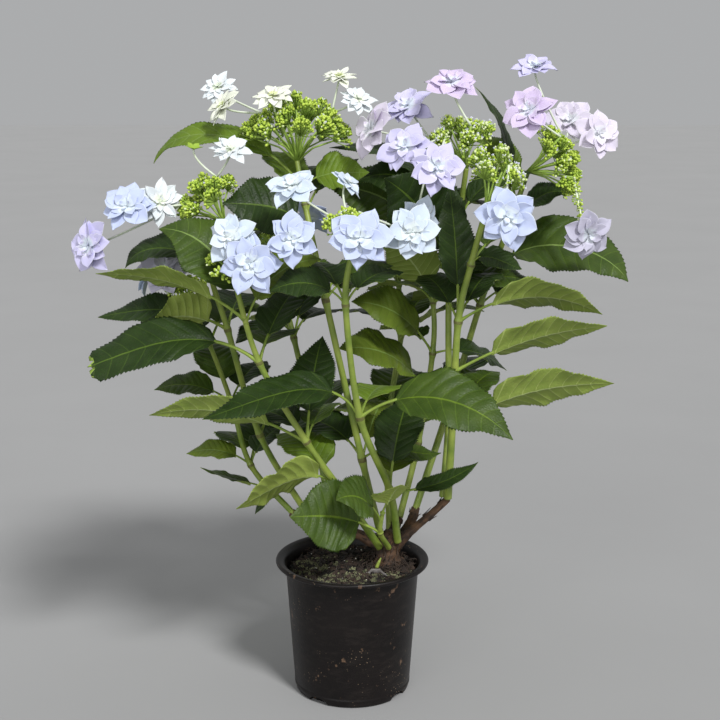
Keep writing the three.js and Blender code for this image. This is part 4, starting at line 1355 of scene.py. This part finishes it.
def add_head(buds, rays, shoot):
    """A lacecap's middle: rays that fan out from the hub and fork to clusters of small buds."""
    spread, height, rise = (shoot["head"][k] for k in ("spread", "height", "rise"))
    hub, axis = head_frame(shoot)
    side, top = floret_axes(axis)
    shares = (PALE_SHARE, OPEN_SHARE)
    if shoot["name"] in OPENING_HEADS:
        shares = (OPENING_PALE_SHARE, OPENING_OPEN_SHARE)

    def place(x, y, z):
        return hub + np.outer(x, side) + np.outer(y, top) + np.outer(z, axis)

    clusters = max(FEWEST_CLUSTERS, int(spread * spread / CLUSTER_AREA))
    cx, cy, cr = sunflower(clusters, CLUSTER_SPREAD * spread)
    cluster_height = rise - height * (DOME_TOP + DOME_FALL * cr**2 + rng.uniform(*CLUSTER_RAGGED, clusters))
    forks = place(FORK_SHARE * cx, FORK_SHARE * cy, cluster_height - FORK_DROP * rise)
    for fork in forks:
        lean = unit(fork - hub)
        knee = hub + 0.5 * (fork - hub) + RAY_BOW * rise * (axis - (axis @ lean) * lean)
        add_tube(rays, [hub - axis, 0.5 * (hub + knee), knee, fork], RAY_RADII, RAY_SIDES, "ray")
    count = int(math.pi * spread**2 / BUD_AREA)
    x, y, _ = sunflower(count, spread)
    nearest = np.argmin((x[:, None] - cx) ** 2 + (y[:, None] - cy) ** 2, axis=1)
    x += GATHER * (cx[nearest] - x) + rng.uniform(*BUD_SCATTER, count)
    y += GATHER * (cy[nearest] - y) + rng.uniform(*BUD_SCATTER, count)
    off = np.hypot(x - cx[nearest], y - cy[nearest])
    domed = CLUSTER_TOP * height - CLUSTER_FALL * off**2
    z = cluster_height[nearest] + domed + rng.uniform(*BUD_SINK, count)
    for spot, fork in zip(place(x, y, np.minimum(z, rise)), forks[nearest]):
        add_stalked_bud(buds, rays, spot, fork, *shares)


def pedicel_path(shoot, floret):
    """Points along the stalk of a floret, which bends up into its back."""
    centre, facing = np.array(floret[:3], float), heading(*floret[3:5])
    root, back = pedicel_root(shoot, centre), centre - PEDICEL_STRAIGHT * facing
    t = np.linspace(0, 1, PEDICEL_POINTS)[:, None]
    near_root = 0.6 * root + 0.4 * back
    return (1 - t) ** 3 * root + 3 * t * (1 - t) ** 2 * near_root + 3 * t**2 * (1 - t) * back + t**3 * centre


def add_pedicel(rays, shoot, floret):
    """The long pale stalk of a floret, with the ray that carries it."""
    path, hub = pedicel_path(shoot, floret), head_frame(shoot)[0]
    add_tube(rays, path, np.linspace(1.15, 0.85, PEDICEL_POINTS), PEDICEL_SIDES, "pedicel")
    add_tube(rays, [hub, 0.5 * (hub + path[0]), path[0]], [1.4, 1.25, 1.15], PEDICEL_SIDES, "ray")


def add_hanging_buds(buds, rays, shoot, floret):
    """A string of small clusters of buds along the upper part of a drooping stalk."""
    path = pedicel_path(shoot, floret)
    for s in np.linspace(HANGING_FROM, HANGING_TO, HANGING_BUDS):
        on_stalk = curve_points(path, s)[0]
        out = unit(rng.normal(size=3))
        spot = on_stalk + out * rng.uniform(2.5, 6) * (1.1 - 0.1 * s) + [0, 0, 1.6 * math.sin(4 * s)]
        add_bud(buds, spot, out, rng.uniform(0.85, 1.4), str(rng.choice(BUD_LOOKS)))
        add_tube(rays, [on_stalk, spot], [0.4, 0.3], FINE_SIDES, "ray")


def make_florets(heads):
    """All open florets, in one piece for each group of shoots."""
    for piece_name, (slot, names) in TINT_GROUPS.items():
        florets = [floret for shoot in heads if shoot["name"] in names for floret in shoot["florets"]]
        tints = sorted({floret[6] for floret in florets})
        pile = Pile([tint + part for tint in tints for part in PETAL_PARTS])
        for floret in florets:
            add_floret(pile, floret)
        pile.piece(piece_name, slot, ["bloom_" + name for name in names])


def make_flowers():
    """The florets, and the buds and rays of every head."""
    heads = [shoot for shoot in SHOOTS if "head" in shoot]
    make_florets(heads)
    buds, rays = Pile(BUD_LOOKS), Pile(["ray", "pedicel", "stamen"])
    for shoot in heads:
        add_head(buds, rays, shoot)
        for floret in shoot["florets"]:
            add_pedicel(rays, shoot, floret)
        if shoot["name"] == "far_right":
            add_hanging_buds(buds, rays, shoot, shoot["florets"][-1])
    add_young_floret(buds, rays)
    nodes = ["bloom_" + shoot["name"] for shoot in heads]
    buds.piece("bud_clusters", "stem", nodes)
    rays.piece("flower_rays", "stem", nodes)


# ---------------------------------------------------------------- stems and woody crown

STEM_ROWS = 52  # rows for each span
STEM_COUNT = 12  # points in a ring
JOINT_SWELL, JOINT_SPAN = 0.38, 0.05
JOINT_SCAR = 0.02  # half of the brown band on a joint
STEM_RIDGE, STEM_UNEVEN = 0.03, 0.025

BARK_ROWS = 22  # rows for each span
BARK_COUNT = 28  # points in a ring
PATTERN_RADIUS, PATTERN_RISE = 9, 7.0  # of the tube that the bark's pattern is read from
FURROW_DEPTH, KNOT_HEIGHT = 0.2, 0.12
FURROW_LENGTH, KNOT_LENGTH = 7, 26
STUMP_SLIM, BOUGH_SLIM = 0.94, 0.8  # the bark's radius, as a share of the solid limb's
STUMP_SHREDS, BOUGH_SHREDS = 70, 16
SHRED_ROWS = 6
STUMP_FIBRES = 190


def make_stems():
    """Green stems with a swollen, brown-scarred joint at each pair of leaves."""
    pile = Pile(["stem", "stem_node"])
    for shoot in SHOOTS:
        last = len(shoot["path"]) - 1
        s = np.linspace(0, last, STEM_ROWS * last + 1)
        low, high = shoot["radius"]
        nearest = np.round(s)
        is_joint = (nearest >= 1) & (nearest <= shoot["leafy"])
        swell = np.where(is_joint, JOINT_SWELL * np.exp(-(((s - nearest) / JOINT_SPAN) ** 2)), 0)
        radii = (low + (high - low) * s / last) * (1 + swell)
        centres = curve_points(shoot["path"], s)
        ridges = np.where(np.arange(STEM_COUNT) % 2, -1, 1)
        uneven = waves(centres, 30, 5)[:, None]
        wavy = radii[:, None] * (1 + STEM_RIDGE * ridges + STEM_UNEVEN * uneven)
        sides, fronts = path_frames(centres)
        mid = 0.5 * (s[1:] + s[:-1])
        joint = np.round(mid)
        scar = (np.abs(mid - joint) < JOINT_SCAR) & (joint >= 1) & (joint <= shoot["leafy"])
        looks = np.repeat(scar.astype(int), STEM_COUNT)
        faces = tube_faces(len(s), STEM_COUNT)
        looks = np.append(looks, [0] * (len(faces) - len(looks)))
        pile.add(swept(centres, sides, fronts, wavy, STEM_COUNT), faces, looks)
    pile.piece("green_stems", "stem", ["stem_" + shoot["name"] for shoot in SHOOTS])


def add_limb(pile, n, limb):
    """A limb of old wood with furrowed bark, and shreds that lift off it."""
    s = np.linspace(0, len(limb) - 1, BARK_ROWS * (len(limb) - 1))
    shape = curve_points(limb, s)
    centres, radii = shape[:, :3], shape[:, 3]
    slim, shreds = (STUMP_SLIM, STUMP_SHREDS) if n == 0 else (BOUGH_SLIM, BOUGH_SHREDS)
    if n == 0:
        radii = radii * (1 - 0.12 * np.exp(-s))
    sides, fronts = path_frames(centres)
    a = round_angles(BARK_COUNT)
    circle = np.stack([np.cos(a), np.sin(a), 0 * a], -1)
    around = circle[None] * PATTERN_RADIUS + s[:, None, None] * [0, 0, PATTERN_RISE]
    furrows = np.abs(waves(around * [1, 1, 0.5], FURROW_LENGTH, 31 + n))
    knots = waves(around, KNOT_LENGTH, 47 + n)
    rough = slim * radii[:, None] * (1 - FURROW_DEPTH * furrows + KNOT_HEIGHT * knots)
    points = swept(centres, sides, fronts, rough, BARK_COUNT)
    pile.add(points, tube_faces(len(s), BARK_COUNT), "bark")
    for _ in range(shreds):
        first = rng.integers(2, len(s) - 8)
        rows = slice(first, first + SHRED_ROWS)
        turn = rng.uniform(0, FULL_TURN)
        lift = slim * rng.uniform(0.98, 1.1)
        way = math.cos(turn) * sides[rows] + math.sin(turn) * fronts[rows]
        strip = centres[rows] + lift * radii[rows, None] * way
        strip = strip + np.linspace(0, 1, SHRED_ROWS)[:, None] ** 2 * rng.uniform(-1.5, 3.5, 3)
        add_tube(pile, strip, np.linspace(0.75, 0.3, SHRED_ROWS), FINE_SIDES, "fibre")


def add_stump_fibres(pile):
    """Fibres that lie on the compost round the stump."""
    x, y = CROWN_LIMBS[0][0][:2]
    for _ in range(STUMP_FIBRES):
        turn, out = rng.uniform(0, FULL_TURN), rng.uniform(10, 31)
        foot = np.array([x + out * math.cos(turn), y + out * math.sin(turn), SOIL_TOP + 0.4])
        reach = rng.uniform(6, 15) * heading(math.degrees(turn) + rng.uniform(90, 270), rng.uniform(0, 40))
        bend = rng.uniform(-2, 3, 3)
        path = [foot, foot + 0.5 * reach + bend, foot + reach]
        add_tube(pile, path, [0.7, 0.6, 0.3], FINE_SIDES, "fibre")


def make_crown():
    """The stump and its short old arms."""
    pile = Pile(["bark", "fibre"])
    for n, limb in enumerate(CROWN_LIMBS):
        add_limb(pile, n, limb)
    add_stump_fibres(pile)
    pile.piece("old_wood", "bark", ["woody_crown"])


# ---------------------------------------------------------------- pot

POT_COUNT = 160  # points in a ring
POT_OUT_OF_ROUND = 0.0016
FOOT_STEP = 9.2  # the height of the step above the foot
NOTCH_SIDES = 24


def pot_outer(z):
    return POT_FOOT_RADIUS + (POT_NECK_RADIUS - POT_FOOT_RADIUS) * z / (POT_HEIGHT - POT_RIM_HEIGHT)


def arc(centre, radius, start, end, steps):
    a = np.radians(np.linspace(start, end, steps))
    return [(centre[0] + radius * math.cos(k), centre[1] + radius * math.sin(k)) for k in a]


def pot_profile():
    """Radius and height along the pot's wall: underside, foot, outside, rim, inside and floor."""
    rim_base = POT_HEIGHT - POT_RIM_HEIGHT
    bead = POT_RIM_HEIGHT / 2
    profile = [(0.4, 1.6), (30, 1.6), (46, 0.8), (POT_FOOT_RADIUS - 6, 0)]
    profile += arc((POT_FOOT_RADIUS - 3.4, 2.6), 2.6, -90, -8, 6)
    profile += [(pot_outer(z) - 0.1, z) for z in (6, FOOT_STEP - 0.6)]
    profile += [(pot_outer(FOOT_STEP) - 0.55, FOOT_STEP)]
    profile += [(pot_outer(z) - 0.3, z) for z in np.linspace(10.5, rim_base - 5, 14)]
    profile += [(pot_outer(rim_base) + 0.1, rim_base - 2.2), (pot_outer(rim_base) + 1.6, rim_base - 0.4)]
    profile += arc((POT_RIM_RADIUS - bead, rim_base + bead), bead, -80, 100, 12)
    inner_top = pot_outer(POT_HEIGHT) - 0.6
    profile += [(inner_top + 4.4, POT_HEIGHT - 0.7), (inner_top + 2.2, POT_HEIGHT - 1.8)]
    profile += [(inner_top + 0.7, POT_HEIGHT - 3.4), (inner_top, POT_HEIGHT - 6)]
    profile += [(pot_outer(z) - POT_WALL, z) for z in np.linspace(rim_base - 9, POT_FLOOR + 1, 8)]
    profile += [(pot_outer(0) - POT_WALL - 2, POT_FLOOR), (0.4, POT_FLOOR)]
    return np.array(profile)


def make_pot():
    """The nursery pot: thin wall, rolled rim, a step above the foot, and arched drainage notches."""
    r, z = pot_profile().T
    a = round_angles(POT_COUNT)
    r = r[:, None] * (1 + POT_OUT_OF_ROUND * np.sin(3 * a + 1) * (z[:, None] / POT_HEIGHT) ** 2)
    points = np.stack([r * np.cos(a), r * np.sin(a), np.broadcast_to(z[:, None], r.shape)], -1)
    pile = Pile(["pot"])
    pile.add(points, tube_faces(len(z), POT_COUNT), "pot")
    cut_notches(pile.piece("nursery_pot", "pot", ["pot"]))


def cut_notches(pot):
    """Cuts the arches where water drains out under the pot's foot."""
    arches = Pile(["pot"])
    a = round_angles(NOTCH_SIDES)
    section = np.stack([NOTCH_WIDTH / 2 * np.cos(a), NOTCH_HEIGHT * np.sin(a)], -1)
    for k in range(NOTCH_COUNT):
        turn = NOTCH_TURN + 360 * k / NOTCH_COUNT + 90
        out, across = heading(turn), heading(turn + 90)
        rows = []
        for distance in (POT_FOOT_RADIUS + 2 - NOTCH_DEPTH, POT_FOOT_RADIUS + 2 + NOTCH_DEPTH):
            rows.append(distance * out + section[:, :1] * across + section[:, 1:] * [0, 0, 1])
        arches.add(np.array(rows), tube_faces(2, NOTCH_SIDES), "pot")
    cutter = arches.piece("notch_cutter", "pot", [])
    cut = pot.modifiers.new("notches", "BOOLEAN")
    cut.object = cutter
    cut.operation = "DIFFERENCE"
    cut.solver = "EXACT"
    bpy.context.view_layer.update()
    finished = bpy.data.meshes.new_from_object(pot.evaluated_get(bpy.context.evaluated_depsgraph_get()))
    pot.modifiers.clear()
    pot.data = finished
    bpy.data.objects.remove(cutter)


# ---------------------------------------------------------------- compost

SOIL_REACH = pot_outer(SOIL_TOP) - POT_WALL - 0.4  # to the inside of the pot's wall
SOIL_DEPTH = 14  # of the layer that is made
SOIL_RINGS, SOIL_COUNT = 44, 150  # rings, and points in a ring
HUMPS, HUMP_LENGTH = 1.7, 26
LUMPS, LUMP_LENGTH = 1.1, 7
CRUMBS, PERLITES, FIBRES, CHIPS = 1500, 60, 300, 330
CUSHIONS = 480
CUSHION_RADII, CUSHION_FLATNESS = (1.5, 4.5), 0.45
PATCH_LENGTH = 45
BLADES_PER_MM = 5  # moss blades for each millimetre of a cushion's radius
DRY_LEAF_START, DRY_LEAF_END = np.array([14.0, -20, 0]), np.array([35.0, -30, 0])
DRY_LEAF_WIDTH = 3.2
SPROUT_FOOT = np.array([24.0, -12, SOIL_TOP])


def soil_height(x, y):
    """The compost's uneven top: full in the middle and sunk a little at the wall."""
    wall = np.clip((np.hypot(x, y) - SOIL_SHOULDER) / 6, 0, 1)
    flat = np.stack([x, y, 0 * x], -1)
    level = SOIL_TOP - 1.2 - SOIL_EDGE_DROP * wall
    return level + HUMPS * waves(flat, HUMP_LENGTH, 3) + LUMPS * waves(flat, LUMP_LENGTH, 4)


def soil_spots(count):
    """Places drawn evenly over the compost."""
    out = (SOIL_REACH - 2) * np.sqrt(rng.uniform(0, 1, count))
    turn = rng.uniform(0, FULL_TURN, count)
    x, y = out * np.cos(turn), out * np.sin(turn)
    return np.stack([x, y, soil_height(x, y)], -1)


def add_ground(pile):
    """The compost's top, with a closed underside."""
    r = np.concatenate([[0.3], np.linspace(2, SOIL_REACH, SOIL_RINGS)])[:, None]
    a = round_angles(SOIL_COUNT)
    x, y = r * np.cos(a), r * np.sin(a)
    top = np.stack([x, y, soil_height(x, y)], -1)[::-1]
    under = top[:1].copy()
    under[..., 2] = SOIL_TOP - SOIL_DEPTH
    centre = under * [0.005, 0.005, 1]
    rows = np.concatenate([centre, under, top])
    pile.add(rows, tube_faces(len(rows), SOIL_COUNT), "soil")


def add_crumbs(pile):
    """Crumbs, perlite and fibres that are scattered over the compost."""
    for spot in soil_spots(CRUMBS):
        size = rng.uniform(0.6, 2.0) * rng.uniform(0.7, 1.3, 3)
        pile.add(spot + [0, 0, 0.2] + BEAD_POINTS * size, BEAD_FACES, "crumb")
    for spot in soil_spots(PERLITES):
        pile.add(spot + [0, 0, 0.8] + BEAD_POINTS * rng.uniform(0.4, 1.1), BEAD_FACES, "perlite")
    for spot in soil_spots(FIBRES):
        reach = rng.uniform(4, 13) * heading(rng.uniform(0, 360), rng.uniform(-5, 20))
        bend = rng.uniform(-1.5, 1.5, 3) + [0, 0, 1]
        path = [spot, spot + 0.5 * reach + bend, spot + reach]
        add_tube(pile, path, [0.35, 0.32, 0.2], FINE_SIDES, "fibre")


def add_moss(pile):
    """Cushions of short blades, in patches, and more of them towards the front."""
    cushions = soil_spots(CUSHIONS)
    patches = waves(cushions * [1, 1, 0], PATCH_LENGTH, 9) - cushions[:, 1] / PATCH_LENGTH
    for cushion in cushions[patches > -0.1]:
        size = rng.uniform(*CUSHION_RADII) * np.array([1, 1, CUSHION_FLATNESS])
        pile.add(cushion + 0.8 * size * BEAD_POINTS, BEAD_FACES, "moss")
        for _ in range(int(BLADES_PER_MM * size[0])):
            out = heading(rng.uniform(0, 360), rng.uniform(0, 90))
            blade = rng.uniform(0.7, 1.8) * unit(out + rng.uniform(-0.4, 0.4, 3))
            root = cushion + 0.7 * size * out
            add_tube(pile, [root, root + 0.6 * blade, root + blade], [0.45, 0.5, 0.16], FINE_SIDES, "moss")


def add_chip(pile, at, size):
    """An angular flake: a box with its corners drawn about."""
    box = np.array([(x, y, z) for z in (-1, 1) for x, y in ((-1, -1), (1, -1), (1, 1), (-1, 1))], float)
    box = box * size * 0.5 * rng.uniform(0.7, 1.15, (8, 3))
    turn = np.linalg.qr(np.eye(3) + rng.uniform(-0.5, 0.5, (3, 3)))[0]
    spin = rng.uniform(0, FULL_TURN)
    flat = np.array([[math.cos(spin), -math.sin(spin), 0], [math.sin(spin), math.cos(spin), 0], [0, 0, 1]])
    faces = np.array([(0, 3, 2, 1), (4, 5, 6, 7), (0, 1, 5, 4), (1, 2, 6, 5), (2, 3, 7, 6), (3, 0, 4, 7)])
    if np.linalg.det(turn) < 0:
        faces = faces[:, ::-1]
    pile.add(at + box @ turn.T @ flat.T, faces, "chip")


def add_dry_leaf(pile):
    """A grey, curled, fallen leaf."""
    t = np.linspace(0, 1, 10)[:, None]
    path = DRY_LEAF_START + (DRY_LEAF_END - DRY_LEAF_START) * t + np.sin(np.pi * t) * [2, 5, 1.2]
    path[:, 2] += soil_height(path[:, 0], path[:, 1]) + 1.4
    width = np.sin(np.pi * (0.06 + 0.9 * t[:, 0])) * DRY_LEAF_WIDTH
    sides, fronts = path_frames(path)
    a = np.radians(np.linspace(-20, 200, 8))
    outer = path[:, None] + width[:, None, None] * (
        np.cos(a)[None, :, None] * sides[:, None] + 0.55 * np.sin(a)[None, :, None] * fronts[:, None]
    )
    inner = path[:, None] + 0.82 * (outer - path[:, None])
    points = np.concatenate([outer, inner[:, ::-1]], axis=1)
    pile.add(points, tube_faces(*points.shape[:2]), "dry")


def add_sprout(pile):
    """A small green shoot at the front of the stump."""
    path = [SPROUT_FOOT + bend for bend in ([0, 0, 0], [1, -1, 5], [3, -1, 10], [5, 0, 14])]
    add_tube(pile, path, [1.6, 1.9, 1.5, 0.5], 8, "stem")


def make_soil():
    """The compost with all that grows and lies on it."""
    ground = Pile(["soil", "crumb", "moss", "perlite", "fibre"])
    add_ground(ground)
    add_crumbs(ground)
    add_moss(ground)
    ground.piece("compost", "soil", ["soil"])
    litter = Pile(["chip", "dry", "stem"])
    for spot in soil_spots(CHIPS):
        size = np.array([rng.uniform(3, 10), rng.uniform(2, 6), rng.uniform(0.8, 2.4)])
        add_chip(litter, spot + [0, 0, 0.6], size)
    add_dry_leaf(litter)
    add_sprout(litter)
    litter.piece("bark_chips", "soil", ["soil"], smooth=False)


# ---------------------------------------------------------------- camera, floor and light

IMAGE_SIZE = 720  # pixels a side
FOCAL_PIXELS = 1362
SENSOR = 36.0
CAMERA_PLACE = (0.008, -1.3, 0.629)
CAMERA_PITCH = 12.49  # down from level
FLOOR_HALF = 12
WORLD_COLOUR = (0.97, 0.985, 1.0, 1)
WORLD_LIGHT = 0.42
# Each lamp: name, azimuth, elevation, how wide it looks, strength.
SUNS = (("key", -60, 46, 12, 2.85), ("fill", -112, 14, 50, 1.15))


def make_camera():
    camera = bpy.data.cameras.new("camera")
    camera.sensor_width = SENSOR
    camera.lens = SENSOR * FOCAL_PIXELS / IMAGE_SIZE
    camera.clip_end = 50
    seen = bpy.data.objects.new("camera", camera)
    seen.location = CAMERA_PLACE
    seen.rotation_euler = (math.radians(90 - CAMERA_PITCH), 0, 0)
    bpy.context.scene.collection.objects.link(seen)
    bpy.context.scene.camera = seen


def make_floor():
    add_look("floor", (0.328, 0.328, 0.328), (0.342, 0.342, 0.342), 0.8, scale=3)
    corners = [(x * FLOOR_HALF, y * FLOOR_HALF, 0) for x, y in ((-1, -1), (1, -1), (1, 1), (-1, 1))]
    mesh = bpy.data.meshes.new("floor")
    mesh.from_pydata(corners, [], [(0, 1, 2, 3)])
    mesh.materials.append(LOOKS["floor"])
    floor = bpy.data.objects.new("floor", mesh)
    bpy.context.scene.collection.objects.link(floor)


def make_lights():
    world = bpy.data.worlds.new("studio")
    world.use_nodes = True
    background = world.node_tree.nodes["Background"]
    background.inputs["Color"].default_value = WORLD_COLOUR
    background.inputs["Strength"].default_value = WORLD_LIGHT
    bpy.context.scene.world = world
    for name, azimuth, elevation, spread, power in SUNS:
        light = bpy.data.lights.new(name, "SUN")
        light.angle = math.radians(spread)
        light.energy = power
        lamp = bpy.data.objects.new(name, light)
        lamp.rotation_euler = (math.radians(90 - elevation), 0, math.radians(azimuth + 90))
        lamp.location = 3 * heading(azimuth, elevation)
        bpy.context.scene.collection.objects.link(lamp)
    bpy.context.scene.view_settings.view_transform = "Standard"


# ---------------------------------------------------------------- all together

make_camera()
make_floor()
make_lights()
make_leaf_looks()
make_petal_looks()
make_bud_looks()
make_wood_looks()
make_soil_looks()
make_pot_look()
make_foliage(grow())
make_flowers()
make_stems()
make_crown()
make_pot()
make_soil()
